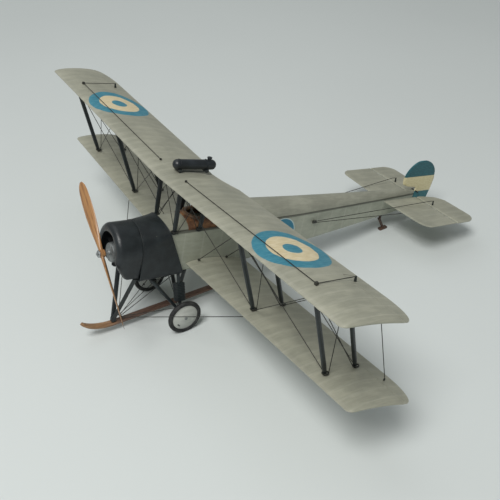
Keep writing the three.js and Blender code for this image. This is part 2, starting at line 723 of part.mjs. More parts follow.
function rudder() {
  const back = [
    ...arcPoints(7.66, 0.83, 0.53, 0.475, 180, 20, 11),
    [8.20, 0.80], [8.17, 0.55], [8.10, 0.24], [7.98, 0.06], [STERN_Y + 0.02, 0.06],
    [STERN_Y + 0.02, 0.62], [7.30, 0.66], [7.15, 0.72],
  ];
  const plate = surface(back, SURFACE, upright);
  const horn = block(at(-0.11, STERN_Y + 0.03, 0.50), at(0.11, STERN_Y + 0.06, 0.53));
  return join(plate, horn);
}

function tailSkid() {
  const sole = at(0, 6.90, -0.452);
  const foot = block(at(-0.045, -0.12, 0), at(0.045, 0.10, 0.05)).rotateX(GROUND_ANGLE)
    .translate(0, sole.y * SCALE, (FLOOR + Math.sin(GROUND_ANGLE) * sole.y) / Math.cos(GROUND_ANGLE) * SCALE);
  const arm = bar(at(0, 6.88, -0.40), at(0, 6.66, -0.13), AFT, LEFT, 0.045, 0.032, 8);
  const post = rod(at(0, 6.70, -0.19), at(0, 6.68, -0.072), 0.03, 10);
  return join(foot, arm, post);
}

function tailSkidBracket() {
  const socket = at(0, 6.675, -0.035);
  const braces = [at(-0.06, 6.45, -0.045), at(0.06, 6.45, -0.045)].map((head) => rod(socket, head, 0.016, 6));
  return join(cube(socket, 0.032), ...braces);
}

// Elevator and rudder cables of the left side, held by one fairlead on the fuselage.
function tailCables() {
  const exit = at(0.325, 4.30, 0.235);
  const guide = block(exit.clone().add(at(-0.012, -0.05, -0.03)), exit.clone().add(at(0.018, 0.05, 0.03)));
  const horn = at(TAIL_HORN.x, TAIL_HINGE - 0.07, TAIL_Z);
  const over = wire(exit.clone().add(at(0.008, 0, 0.015)), horn.clone().add(at(0, 0, TAIL_HORN.reach)));
  const under = wire(exit.clone().add(at(0.008, 0, -0.015)), horn.clone().add(at(0, 0, -0.11)));
  return join(guide, over, under);
}

// ---- aileron controls -------------------------------------------------------------------------
const CABLE_D = 0.31;

// The cable runs out along the wing, turns in a small housing and stops short of the horn.
function aileronCable() {
  const start = overWing(UPPER, 0.50, CABLE_D, 0.014);
  const turn = overWing(UPPER, HORN.x, CABLE_D, 0.026);
  const stop = overWing(UPPER, HORN.x, HINGE - 0.05, 0.075);
  return join(cube(start, 0.016), wire(start, turn), cube(turn, 0.024), wire(turn, stop));
}

const LINK_X = 4.88;

// The wire between the upper and the lower aileron; its ends stop clear of both at full travel.
function aileronLink() {
  const head = underWing(UPPER, LINK_X, HINGE + 0.10, 0.042);
  const foot = overWing(LOWER, LINK_X, HINGE + 0.10, 0.042);
  return wire(head, foot);
}

// ---- tank -------------------------------------------------------------------------------------
const TANK = { radius: 0.097, from: 0.80, to: 1.72, lift: 0.14 };

const tankAxis = (y) => at(0, y, UPPER.z + 0.095 + TANK.lift - (y - UPPER.y) * Math.tan(INCIDENCE));

function gravityTank() {
  const front = tankAxis(TANK.from);
  const along = tankAxis(TANK.to).sub(front).normalize();
  const over = LEFT.clone().cross(along);
  const length = TANK.to - TANK.from;
  const steps = [[0, 0.25], [0.012, 0.62], [0.04, 0.88], [0.09, 1]];
  const stations = [...steps, ...steps.map(([run, part]) => [length - run, part]).reverse()];
  const shell = loft(stations.map(([run, part]) => ellipse(
    front.clone().addScaledVector(along, run), LEFT, over, TANK.radius * part, TANK.radius * part, 20,
  )));
  const neck = tankAxis(1.57);
  return join(shell, rod(neck, neck.clone().add(at(0, 0, TANK.radius + 0.05)), 0.045, 12));
}

function tankCradle() {
  const saddle = (y) => {
    const axis = tankAxis(y);
    const top = axis.z - TANK.radius * 0.75;
    return block(at(-0.10, y - 0.03, axis.z - TANK.radius - 0.028), at(0.10, y + 0.03, top));
  };
  const rail = (x) => loft([0.92, 1.50].map((y) => ellipse(
    tankAxis(y).add(at(x, 0, -TANK.radius - 0.017)), LEFT, UP, 0.012, 0.010, 6,
  )));
  const axis = [tankAxis(0.7), tankAxis(1.8)];
  return cut(join(saddle(0.92), saddle(1.50), rail(-0.05), rail(0.05)), rod(...axis, TANK.radius + GAP, 20));
}

// ---- cabane rigging ---------------------------------------------------------------------------
function cabaneRigging() {
  const section = { long: CABANE.long, thick: CABANE.thick };
  const flip = (point) => at(-point.x, point.y, point.z);
  const fittings = [1, -1].map((side) => [0, 1].map((index) => {
    const [foot, head] = cabaneEnds(index).map((point) => (side > 0 ? point : flip(point)));
    return { low: collar(foot, head, section), high: collar(head, foot, section) };
  }));
  const [[leftFront, leftRear], [rightFront, rightRear]] = fittings;
  const used = [
    leftFront.low, leftFront.high, rightFront.low, rightFront.high,
    leftRear.low, leftRear.high, rightRear.low, rightRear.high,
  ];
  return join(
    between(leftFront.low, rightFront.high, BESIDE), between(leftFront.high, rightFront.low, -BESIDE),
    between(leftFront.low, leftRear.high, BESIDE), between(leftFront.high, leftRear.low, -BESIDE),
    between(rightFront.low, rightRear.high, BESIDE), between(rightFront.high, rightRear.low, -BESIDE),
    between(leftRear.high, rightRear.high, 0),
    ...used.map((fitting) => fitting.geometry),
  );
}

// ---- assembly ---------------------------------------------------------------------------------
const paint = (color, roughness, metalness = 0) => new MeshStandardMaterial({ color, roughness, metalness });
const DOPE = paint(0xa9a697, 0.5, 0.3);
const DECK_DOPE = paint(0x96978a, 0.55, 0.2);
const BLACK = paint(0x1d2426, 0.45);
const CHARCOAL = paint(0x2a2f32, 0.4);
const WOOD = paint(0xa5784b, 0.45);
const DARK_WOOD = paint(0x6e4433, 0.5);
const LEATHER = paint(0x6b432b, 0.6);
const STEEL = paint(0x6a6e70, 0.4, 0.7);
const RUBBER = paint(0x1a1a1b, 0.8);
const THREAD = paint(0x2c2d2a, 0.6);
const BLUE = paint(0x3c96b4, 0.5);

const aeroplane = new Group();
aeroplane.rotation.x = -GROUND_ANGLE;

function add(name, geometry, material) {
  const mesh = new Mesh(geometry, material);
  mesh.name = name;
  aeroplane.add(mesh);
  return mesh;
}

function addPair(name, geometry, material) {
  add(`${name}_left`, geometry, material);
  add(`${name}_right`, mirrored(geometry), material);
}

add('fuselage_shell', fuselageShell(), DOPE);
add('scuttle_deck', scuttleDeck(), DECK_DOPE);
add('front_coaming', frontCoaming(), LEATHER);
add('rear_coaming', rearCoaming(), DECK_DOPE);
add('rear_deck', rearDeck(), DECK_DOPE);
add('cockpit_seats', cockpitSeats(), LEATHER);
add('cowl_front', cowlFront(), CHARCOAL);
add('cowl_rear', cowlRear(), CHARCOAL);
add('rotary_engine', engine(), STEEL);
add('propeller', propeller(), WOOD);

add('upper_wing_centre', centreSection(), DOPE);
addPair('upper_wing', fixedPanel(UPPER), DOPE);
addPair('lower_wing', fixedPanel(LOWER), DOPE);
addPair('upper_aileron', hornedAileron(), DOPE);
addPair('lower_aileron', aileron(LOWER), DOPE);

for (const [place, x] of Object.entries(BAYS)) {
  for (const [row, d] of Object.entries(SPARS)) {
    addPair(`strut_${place}_${row}`, interplaneStrut(x, d), BLACK);
  }
}
addPair('cabane_strut_front', cabaneStrut(0), BLACK);
addPair('cabane_strut_rear', cabaneStrut(1), BLACK);

add('gravity_tank', gravityTank(), BLACK);
add('tank_cradle', tankCradle(), BLACK);

add('landing_skid', landingSkid(), DARK_WOOD);
add('front_skid_struts', frontSkidStruts(), BLACK);
add('rear_skid_struts', rearSkidStruts(), BLACK);
add('axle', axle(), STEEL);
addPair('undercarriage_leg', undercarriageLeg(), BLACK);
for (const [side, sign] of [['left', 1], ['right', -1]]) {
  for (const [name, geometry, material] of [['tyre', tyre(), RUBBER], ['wheel_disc', wheelDisc(), DOPE]]) {
    const wheel = add(`${name}_${side}`, geometry, material);
    wheel.position.set(sign * WHEEL.x, WHEEL.y, WHEEL.z).multiplyScalar(SCALE);
  }
}

addPair('tailplane', tailplaneHalf(), DOPE);
addPair('elevator', elevatorHalf(), DOPE);
add('rudder', rudder(), BLUE);
add('tail_skid', tailSkid(), DARK_WOOD);
add('tail_skid_bracket', tailSkidBracket(), BLACK);

addPair('wing_rigging', wingRigging(), THREAD);
add('cabane_rigging', cabaneRigging(), THREAD);
add('undercarriage_rigging', undercarriageRigging(), THREAD);
addPair('aileron_cable', aileronCable(), THREAD);
addPair('aileron_link', aileronLink(), THREAD);
addPair('tail_cables', tailCables(), THREAD);

const model = new Group();
model.add(aeroplane);
model.updateMatrixWorld(true);
const box = new Box3().setFromObject(model, true);
aeroplane.position.set(-(box.min.x + box.max.x) / 2, -(box.min.y + box.max.y) / 2, -box.min.z);

export default model;
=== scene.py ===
"""Looks of a 1:72 display model of a two-bay biplane.

Every shape is drawn in the aeroplane's flight axes, in metres of the full-size aeroplane: +X is
the pilot's left, +Y is aft, +Z is up.  place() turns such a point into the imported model's frame,
which is anchored on the propeller joint.
"""

import json
import math

import bmesh
import bpy
from mathutils import Matrix, Vector

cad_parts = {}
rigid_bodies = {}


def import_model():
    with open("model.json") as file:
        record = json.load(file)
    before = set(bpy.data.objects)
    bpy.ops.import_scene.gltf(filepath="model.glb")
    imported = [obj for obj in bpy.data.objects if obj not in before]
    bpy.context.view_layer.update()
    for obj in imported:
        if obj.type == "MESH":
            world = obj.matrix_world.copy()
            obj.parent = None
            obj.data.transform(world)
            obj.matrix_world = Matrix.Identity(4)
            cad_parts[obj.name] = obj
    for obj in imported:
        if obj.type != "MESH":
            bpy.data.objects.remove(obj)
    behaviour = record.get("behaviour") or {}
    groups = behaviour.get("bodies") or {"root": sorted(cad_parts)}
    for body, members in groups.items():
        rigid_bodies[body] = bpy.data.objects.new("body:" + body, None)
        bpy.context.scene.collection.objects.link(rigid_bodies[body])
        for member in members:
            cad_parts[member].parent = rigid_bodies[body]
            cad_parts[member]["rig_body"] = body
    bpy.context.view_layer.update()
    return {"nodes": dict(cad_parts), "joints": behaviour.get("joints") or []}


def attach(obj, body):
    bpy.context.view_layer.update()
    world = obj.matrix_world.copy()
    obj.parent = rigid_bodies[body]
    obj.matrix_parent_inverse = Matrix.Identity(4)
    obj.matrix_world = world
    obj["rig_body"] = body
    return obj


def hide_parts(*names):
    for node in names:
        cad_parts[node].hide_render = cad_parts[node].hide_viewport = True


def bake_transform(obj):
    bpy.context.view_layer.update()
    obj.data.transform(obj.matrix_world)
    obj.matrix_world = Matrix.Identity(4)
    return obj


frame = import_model()
JOINTS = {joint["name"]: joint for joint in frame["joints"]}

# ---- driving dimensions, as in the CAD model -------------------------------------------------
SCALE = 1 / 72
SHAFT = JOINTS["propeller_spin"]
PITCH = math.atan2(-SHAFT["axis"][2], SHAFT["axis"][1])
HUB_Y = -0.445
TURN = Matrix.Rotation(-PITCH, 3, "X")
SHIFT = Vector(SHAFT["pos_m"]) - TURN @ Vector((0, HUB_Y, 0)) * SCALE

X = Vector((1, 0, 0))
Y = Vector((0, 1, 0))
Z = Vector((0, 0, 1))

CHORD = 1.36
INCIDENCE = math.radians(4.62)
CAMBER = 0.045
HALF_THICKNESS = 0.043
EDGE = 0.008
UPPER = {"y": 0.496, "z": 1.492, "rise": math.tan(math.radians(2.47)), "root": 0.42}
LOWER = {"y": 1.15, "z": -0.275, "rise": math.tan(math.radians(3.35)), "root": 0.395}
TIP = {"half": 5.486, "front": 5.35, "curl": 0.74, "depth": 0.30, "nose": 0.12, "end": 1.0}
CUT_OUT = {"half": 0.72, "depth": 0.17}
HINGE = 1.05
HINGE_GAP = 0.016
AILERON_ROOT = 4.13
SPARS = {"front": 0.22, "rear": 0.87}
BAYS = {"inner": 2.43, "outer": 4.47}
STRUT = {"long": 0.100, "thick": 0.050}
RIB_PITCH = 0.235
RIB_START = 0.12
RIB_WIDTH = 0.016

FUSELAGE = [
    (0.42, 0.385, -0.42), (2.50, 0.385, -0.43), (4.17, 0.300, -0.235),
    (5.78, 0.185, -0.085), (6.80, 0.105, 0.02), (7.52, 0.050, 0.10),
    (7.585, 0.034, 0.10),
]
FRAME_PITCH = 0.42
LONGERON = 0.45
DECK_HALF = 0.326
WALL = 0.07
WELL_FLOOR = -0.30

COWL = {"radius": 0.485, "middle": 0.09, "low": -0.38, "low_half": 0.435, "wall": 0.035}
COWL_FRONT = {"face": -0.34, "seam": 0.135, "lip": 0.105}
COWL_REAR = {"half": 0.427, "shoulder": 0.44, "crown": 0.62, "low": -0.47}
COWL_SEAM = {"half": 0.485, "shoulder": 0.09, "crown": 0.575, "low": -0.456}
PROPELLER = {"radius": 1.485, "angle": -0.923}
WHEEL = {"x": 0.78, "y": 1.06, "z": -1.24, "radius": 0.355, "rim": 0.265, "width": 0.09}
WHEEL_CENTRE = Vector((WHEEL["x"], WHEEL["y"], WHEEL["z"]))
SKID_FOOT = Vector((0, -0.08, -1.56))
TAIL_Z = 0.42
TAIL_HORN = {"x": 0.66, "reach": 0.14}
TAIL_HINGE = 7.56
STERN_Y = 7.60
SURFACE = 0.022
HORN_X = 4.34
LINK_X = 4.88
CABANE = {"x": 0.378, "long": 0.10, "thick": 0.044, "feet": (0.80, 1.34), "tops": (0.31, 0.94)}
TANK = {"radius": 0.097, "front": 0.80, "rear": 1.72, "lift": 0.235, "saddles": (0.92, 1.50)}
CHORDWISE = Vector((0, math.cos(INCIDENCE), -math.sin(INCIDENCE)))


def place(point):
    return TURN @ Vector(point) * SCALE + SHIFT


def lerp(a, b, part):
    return a + (b - a) * part


def track(value, table):
    """The straight-line value at a place in a list of (place, value, ...) rows."""
    for low, high in zip(table, table[1:]):
        if value <= high[0]:
            part = max((value - low[0]) / (high[0] - low[0]), 0)
            return [lerp(a, b, part) for a, b in zip(low[1:], high[1:])]
    return list(table[-1][1:])


def steps(start, end, count):
    return [lerp(start, end, i / count) for i in range(count + 1)]


# ---- shapes ------------------------------------------------------------------------------------
class Shape:
    """Points and faces in flight axes; each point also keeps the place that its paint is read at."""

    def __init__(self):
        self.points = []
        self.faces = []
        self.plan = []

    def loft(self, rings, endless=False, plan=None):
        base = len(self.points)
        size = len(rings[0])
        for i, ring in enumerate(rings):
            self.points += [Vector(point) for point in ring]
            self.plan += [tuple(mark) for mark in (plan[i] if plan else ring)]
        spans = len(rings) if endless else len(rings) - 1
        for i in range(spans):
            here = base + i * size
            after = base + ((i + 1) % len(rings)) * size
            for j in range(size):
                k = (j + 1) % size
                self.faces.append((here + j, here + k, after + k, after + j))
        if not endless:
            self.faces.append(tuple(base + j for j in reversed(range(size))))
            self.faces.append(tuple(base + (len(rings) - 1) * size + j for j in range(size)))
        return self

    def rod(self, start, end, radius, sides=16, soft=0.12):
        start, end = Vector(start), Vector(end)
        along = (end - start).normalized()
        across = (Z if abs(along.z) < 0.9 else X).cross(along).normalized()
        return self.bar(start, end, across, along.cross(across), radius, radius, sides, soft)

    def bar(self, start, end, first, second, a, b, sides=16, soft=0.12):
        """A straight bar of oval section whose end edges are eased."""
        length = (Vector(end) - Vector(start)).length
        ease = min(min(a, b) * soft, length * 0.3) / length
        rings = []
        for part, k in ((0, 1 - soft), (ease, 1), (1 - ease, 1), (1, 1 - soft)):
            centre = Vector(start).lerp(Vector(end), part)
            rings.append(oval(centre, first, second, a * k, b * k, sides))
        return self.loft(rings)

    def tube(self, path, radius, sides=12, endless=False):
        """A round tube along a path."""
        path = [Vector(point) for point in path]
        count = len(path)
        rings = []
        up = None
        for i, point in enumerate(path):
            before = path[(i - 1) % count] if endless else path[max(i - 1, 0)]
            after = path[(i + 1) % count] if endless else path[min(i + 1, count - 1)]
            along = (after - before).normalized()
            if up is None:
                up = (Z if abs(along.z) < 0.8 else X).cross(along).normalized()
            up = (up - along * up.dot(along)).normalized()
            rings.append(oval(point, up, along.cross(up), radius, radius, sides))
        return self.loft(rings, endless)

    def lathe(self, profile, centre, axis, sides=32):
        """A turned body: profile rows are (radius, run along the axis)."""
        axis = Vector(axis).normalized()
        first = (Z if abs(axis.z) < 0.8 else X).cross(axis).normalized()
        second = axis.cross(first)
        rings = []
        for radius, run in profile:
            rings.append(oval(Vector(centre) + axis * run, first, second, radius, radius, sides))
        return self.loft(rings)

    def block(self, centre, half, soft=0.004, axes=(X, Y, Z)):
        """A box with rounded edges."""
        centre = Vector(centre)
        u, v, w = axes
        levels = [(-1, 1), (-1 + 0.3 * soft / half[2], 0.3), (-1 + soft / half[2], 0)]
        levels += [(-k, inset) for k, inset in reversed(levels)]
        rings = []
        for k, inset in levels:
            a, b = half[0] - soft * inset, half[1] - soft * inset
            ring = []
            for sx, sy, turn in ((1, 1, 0), (-1, 1, 90), (-1, -1, 180), (1, -1, 270)):
                for step in (0, 45, 90):
                    angle = math.radians(turn + step)
                    px = sx * (a - soft) + soft * math.cos(angle)
                    py = sy * (b - soft) + soft * math.sin(angle)
                    ring.append(centre + u * px + v * py + w * (half[2] * k))
            rings.append(ring)
        return self.loft(rings)

    def dome(self, centre, axis, radius, height, sides=12):
        turns = steps(0, 82, 5)
        profile = [(radius * math.cos(math.radians(t)), height * math.sin(math.radians(t))) for t in turns]
        return self.lathe([(radius, -height * 0.4)] + profile, centre, axis, sides)

    def take(self, other, move=None):
        base = len(self.points)
        self.points += [move(point) if move else point.copy() for point in other.points]
        self.plan += other.plan
        self.faces += [tuple(base + i for i in face) for face in other.faces]
        return self

    def mirrored(self):
        other = Shape()
        other.points = [Vector((-p.x, p.y, p.z)) for p in self.points]
        other.plan = [(-m[0], m[1], m[2]) for m in self.plan]
        other.faces = [tuple(reversed(face)) for face in self.faces]
        return other


def oval(centre, first, second, a, b, sides):
    turns = [2 * math.pi * i / sides for i in range(sides)]
    return [centre + first * (a * math.cos(t)) + second * (b * math.sin(t)) for t in turns]


def piece(name, shape, material, body="airframe", nodes=(), slot=None, sharp=35):
    """Turns a shape into an object that rides on a body and stands for CAD nodes."""
    mesh = bpy.data.meshes.new(name)
    mesh.from_pydata([place(point) for point in shape.points], [], shape.faces)
    marks = mesh.attributes.new("plan", "FLOAT_VECTOR", "POINT")
    marks.data.foreach_set("vector", [value for mark in shape.plan for value in mark])
    mesh.materials.append(material)
    work = bmesh.new()
    work.from_mesh(mesh)
    bmesh.ops.recalc_face_normals(work, faces=work.faces)
    work.to_mesh(mesh)
    work.free()
    mesh.shade_smooth()
    mesh.set_sharp_from_angle(angle=math.radians(sharp))
    thing = bpy.data.objects.new(name, mesh)
    bpy.context.scene.collection.objects.link(thing)
    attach(thing, body)
    if nodes:
        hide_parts(*nodes)
    return thing


def pair(name, shape, material, body="airframe", node=None, **words):
    """The same piece on both sides; body and node names end in _left and _right."""
    made = []
    for side, form in (("left", shape), ("right", shape.mirrored())):
        rides = body if body == "airframe" else f"{body}_{side}"
        nodes = (f"{node}_{side}",) if node else ()
        made.append(piece(f"{name}_{side}", form, material, rides, nodes, **words))
    return made


# ---- materials ---------------------------------------------------------------------------------
def tint(red, green, blue):
    """A screen colour from 0 to 255 as the linear colour that a shader takes."""
    return tuple(((part / 255 + 0.055) / 1.055) ** 2.4 for part in (red, green, blue)) + (1,)


class Paint:
    """A material written as a chain of calls; each call adds one node and returns its output."""

    def __init__(self, name, metallic=0.0, **sockets):
        self.material = bpy.data.materials.new(name)
        self.material.use_nodes = True
        self.tree = self.material.node_tree
        self.shader = self.tree.nodes["Principled BSDF"]
        self.shader.inputs["Metallic"].default_value = metallic
        for socket, value in sockets.items():
            self.shader.inputs[socket.replace("_", " ")].default_value = value

    def node(self, kind, *values, **settings):
        made = self.tree.nodes.new(kind)
        for key, value in settings.items():
            setattr(made, key, value)
        for socket, value in zip(made.inputs, values):
            self.feed(socket, value)
        return made

    def feed(self, socket, value):
        if isinstance(value, bpy.types.NodeSocket):
            self.tree.links.new(value, socket)
        elif value is not None:
            socket.default_value = value

    def math(self, operation, *values):
        return self.node("ShaderNodeMath", *values, operation=operation).outputs[0]

    def plan(self):
        return self.node("ShaderNodeAttribute", attribute_name="plan").outputs["Vector"]

    def object_place(self):
        spot = self.node("ShaderNodeTexCoord").outputs["Object"]
        scaled = self.node("ShaderNodeVectorMath", spot, operation="SCALE")
        scaled.inputs["Scale"].default_value = 1 / SCALE
        return scaled.outputs[0]

    def split(self, vector):
        return self.node("ShaderNodeSeparateXYZ", vector).outputs

    def stretch(self, vector, factors):
        return self.node("ShaderNodeVectorMath", vector, factors, operation="MULTIPLY").outputs[0]

    def noise(self, vector, scale, detail=4.0, roughness=0.55):
        made = self.node("ShaderNodeTexNoise")
        self.feed(made.inputs["Vector"], vector)
        made.inputs["Scale"].default_value = scale
        made.inputs["Detail"].default_value = detail
        made.inputs["Roughness"].default_value = roughness
        return made.outputs["Fac"]

    def span(self, value, low, high, out_low=0.0, out_high=1.0):
        """Maps low..high smoothly to out_low..out_high."""
        limits = (low, high, out_low, out_high)
        return self.node("ShaderNodeMapRange", value, *limits, interpolation_type="SMOOTHSTEP").outputs[0]

    def mix(self, part, first, second):
        made = self.node("ShaderNodeMix", data_type="RGBA")
        self.feed(made.inputs[0], part)
        self.feed(made.inputs[6], first)
        self.feed(made.inputs[7], second)
        return made.outputs[2]

    def tones(self, noise, dark, light, low=0.35, high=0.68):
        """Two tones of one colour, divided by a noise."""
        return self.mix(self.span(noise, low, high), dark, light)

    def over(self, part, weight, base, colour):
        """A colour laid over another where part is 1, at a given weight."""
        return self.mix(self.math("MULTIPLY", part, weight), base, colour)

    def colour(self, value):
        self.feed(self.shader.inputs["Base Color"], value)

    def rough(self, value):
        self.feed(self.shader.inputs["Roughness"], value)

    def blend(self, first, second, part):
        """A weighted mix of two plain values."""
        return self.math("ADD", self.math("MULTIPLY", first, 1 - part), self.math("MULTIPLY", second, part))

    def length(self, across, along):
        """The distance from a point, from its two offsets."""
        squares = [self.math("POWER", offset, 2.0) for offset in (across, along)]
        return self.math("SQRT", self.math("ADD", *squares))

    def bump(self, height, distance, strength=1.0):
        made = self.node("ShaderNodeBump")
        made.inputs["Strength"].default_value = strength
        made.inputs["Distance"].default_value = distance * SCALE
        self.feed(made.inputs["Height"], height)
        self.feed(self.shader.inputs["Normal"], made.outputs[0])


WING_ROUNDEL = {"span": 3.25, "depth": 0.70, "radii": (0.65, 0.435, 0.165)}
SIDE_ROUNDEL = {"y": 3.42, "z": 0.06, "border": 0.375, "radii": (0.355, 0.235, 0.095)}
BLUE = tint(48, 120, 146)
CREAM = tint(222, 208, 170)
DOPE_LIGHT = tint(172, 172, 155)
DOPE_DARK = tint(150, 151, 136)


def dope_base(paint, vector, light=DOPE_LIGHT, dark=DOPE_DARK):
    """Brushed aluminium dope: cloudy large patches with fine chordwise brush streaks."""
    cloud = paint.noise(vector, 1.7, 5.0, 0.6)
    streak = paint.noise(paint.stretch(vector, (14.0, 1.6, 6.0)), 2.2, 6.0, 0.65)
    part = paint.span(paint.blend(cloud, streak, 0.45), 0.36, 0.66)
    fine = paint.noise(vector, 46.0, 3.0, 0.6)
    paint.rough(paint.span(paint.blend(streak, fine, 0.3), 0.3, 0.7, 0.40, 0.58))
    weave = paint.noise(vector, 140.0, 2.0, 0.5)
    paint.bump(paint.blend(streak, weave, 0.3), 0.006, 0.5)
    return paint.mix(part, dark, light)


def ring_paint(paint, base, distance, rings, where):
    """Concentric painted rings with slightly uneven edges; rings are (radius, colour), largest first."""
    for radius, colour in rings:
        inside = paint.span(distance, radius - 0.006, radius + 0.006, 1.0, 0.0)
        base = paint.mix(paint.math("MULTIPLY", inside, where), base, colour)
    return base


def wing_paint(name, marked):
    """Wing fabric: plan holds the span, the distance behind the leading edge, and which side it is."""
    paint = Paint(name, metallic=0.22, Specular_IOR_Level=0.45)
    plan = paint.plan()
    span, depth, side = paint.split(plan)
    colour = dope_base(paint, plan)
    run = paint.math("DIVIDE", paint.math("SUBTRACT", paint.math("ABSOLUTE", span), RIB_START), RIB_PITCH)
    phase = paint.math("FRACT", paint.math("ADD", run, 0.5))
    from_rib = paint.math("MULTIPLY", paint.math("ABSOLUTE", paint.math("SUBTRACT", phase, 0.5)), RIB_PITCH)
    tape = paint.span(from_rib, 0.016, 0.026, 1.0, 0.0)
    bay = paint.span(from_rib, 0.03, RIB_PITCH / 2)
    colour = paint.over(tape, 0.10, colour, tint(196, 194, 182))
    # Painted shade: bay is 1 in the middle of each bay between the ribs, and this darkens the colour where
    # the sagging cloth lies in shade.
    colour = paint.over(bay, 0.06, colour, tint(120, 118, 108))
    front = paint.span(depth, 0.05, 0.075, 1.0, 0.0)
    colour = paint.over(front, 0.12, colour, tint(192, 190, 178))
    if marked:
        wobble = paint.math("MULTIPLY", paint.math("SUBTRACT", paint.noise(plan, 7.0, 2.0), 0.5), 0.014)
        across = paint.math("SUBTRACT", paint.math("ABSOLUTE", span), WING_ROUNDEL["span"])
        back = paint.math("SUBTRACT", depth, WING_ROUNDEL["depth"])
        distance = paint.math("ADD", paint.length(across, back), wobble)
        shade = paint.noise(paint.stretch(plan, (10.0, 2.0, 1.0)), 3.0)
        blue = paint.tones(shade, tint(56, 128, 150), tint(78, 146, 164), high=0.7)
        cream = paint.tones(shade, tint(214, 199, 160), tint(230, 217, 184), high=0.7)
        top = paint.span(side, -0.1, 0.1)
        rings = zip(WING_ROUNDEL["radii"], (blue, cream, blue))
        colour = ring_paint(paint, colour, distance, rings, top)
    paint.colour(colour)
    return paint.material


def fuselage_paint():
    """Side fabric with a roundel, and faint seams where the frames lie."""
    paint = Paint("fuselage_fabric", metallic=0.20, Specular_IOR_Level=0.45)
    plan = paint.plan()
    _, along, up = paint.split(plan)
    colour = dope_base(paint, plan, tint(170, 173, 158), tint(148, 152, 138))
    phase = paint.math("FRACT", paint.math("DIVIDE", along, FRAME_PITCH))
    seam = paint.span(paint.math("ABSOLUTE", paint.math("SUBTRACT", phase, 0.5)), 0.02, 0.06, 1.0, 0.0)
    colour = paint.over(seam, 0.22, colour, tint(190, 189, 178))
    edge = paint.span(up, LONGERON - 0.035, LONGERON - 0.01)
    colour = paint.over(edge, 0.75, colour, tint(72, 74, 68))
    back = paint.math("SUBTRACT", along, SIDE_ROUNDEL["y"])
    over = paint.math("SUBTRACT", up, SIDE_ROUNDEL["z"])
    rings = [(SIDE_ROUNDEL["border"], tint(186, 206, 206))]
    rings += zip(SIDE_ROUNDEL["radii"], (BLUE, CREAM, BLUE))
    colour = ring_paint(paint, colour, paint.length(back, over), rings, 1.0)
    paint.colour(colour)
    return paint.material


def deck_paint():
    paint = Paint("deck_fabric", metallic=0.18, Specular_IOR_Level=0.45)
    plan = paint.plan()
    colour = dope_base(paint, plan, tint(160, 161, 146), tint(138, 139, 126))
    _, _, up = paint.split(plan)
    edge = paint.span(up, LONGERON + 0.012, LONGERON + 0.030, 1.0, 0.0)
    colour = paint.over(edge, 0.8, colour, tint(66, 68, 60))
    paint.colour(colour)
    return paint.material


def satin_black(name, light, dark, worn, roughness, wear=0.5, stretch=(1, 1, 1)):
    """Brush-painted satin paint, rubbed lighter in places."""
    paint = Paint(name, Specular_IOR_Level=0.5)
    plan = paint.stretch(paint.plan(), stretch)
    cloud = paint.noise(plan, 5.0, 6.0, 0.65)
    fine = paint.noise(plan, 38.0, 4.0, 0.6)
    colour = paint.tones(cloud, dark, light)
    rub = paint.span(paint.blend(cloud, fine, 0.6), 0.56, 0.72)
    colour = paint.over(rub, wear, colour, worn)
    paint.colour(colour)
    paint.rough(paint.span(fine, 0.3, 0.7, roughness - 0.06, roughness + 0.1))
    paint.bump(paint.math("ADD", cloud, fine), 0.008, 0.4)
    return paint.material


def propeller_wood():
    """Laminated timber: the layers run along the blades, with fine grain over them."""
    paint = Paint("propeller_wood", Coat_Weight=0.35, Coat_Roughness=0.25)
    plan = paint.plan()
    grain = paint.noise(paint.stretch(plan, (60.0, 60.0, 3.0)), 1.0, 6.0, 0.6)
    layer = paint.math("FRACT", paint.math("MULTIPLY", paint.split(plan)[1], 26.0))
    band = paint.span(paint.math("ABSOLUTE", paint.math("SUBTRACT", layer, 0.5)), 0.18, 0.32)
    colour = paint.mix(band, tint(158, 114, 70), tint(126, 86, 54))
    colour = paint.tones(grain, colour, tint(172, 130, 84), high=0.7)
    tip = paint.span(paint.split(plan)[2], -1.430, -1.422, 1.0, 0.0)
    colour = paint.over(tip, 0.9, colour, tint(112, 114, 112))
    paint.colour(colour)
    paint.rough(paint.span(grain, 0.3, 0.7, 0.34, 0.5))
    paint.bump(grain, 0.006, 0.35)
    return paint.material


def skid_wood():
    """Stained timber whose nose is worn to a lighter tan."""
    paint = Paint("skid_wood", Coat_Weight=0.2, Coat_Roughness=0.35)
    plan = paint.plan()
    grain = paint.noise(paint.stretch(plan, (40.0, 2.0, 40.0)), 1.0, 6.0, 0.62)
    along = paint.split(plan)[1]
    red = paint.tones(grain, tint(80, 60, 50), tint(112, 86, 72))
    tan = paint.tones(grain, tint(128, 96, 66), tint(158, 124, 90))
    nose = paint.span(along, -0.30, 0.12, 1.0, 0.0)
    paint.colour(paint.mix(nose, red, tan))
    paint.rough(paint.span(grain, 0.3, 0.7, 0.42, 0.6))
    paint.bump(grain, 0.008, 0.5)
    return paint.material


def leather_paint(name, light, dark, roughness=0.5):
    """Creased leather with a pebbled grain, and painted shade that darkens the creases."""
    paint = Paint(name, Specular_IOR_Level=0.5)
    plan = paint.plan()
    patch = paint.noise(plan, 7.0, 5.0, 0.6)
    cells = paint.node("ShaderNodeTexVoronoi", feature="DISTANCE_TO_EDGE")
    paint.feed(cells.inputs["Vector"], plan)
    cells.inputs["Scale"].default_value = 60.0
    crease = paint.span(cells.outputs["Distance"], 0.0, 0.12)
    colour = paint.tones(patch, dark, light)
    # Painted shade: the colour is darkened in the creases of the grain.
    colour = paint.mix(paint.math("MULTIPLY", paint.math("SUBTRACT", 1.0, crease), 0.35), colour, dark)
    paint.colour(colour)
    paint.rough(paint.span(patch, 0.3, 0.7, roughness - 0.08, roughness + 0.12))
    paint.bump(crease, 0.006, 0.5)
    return paint.material


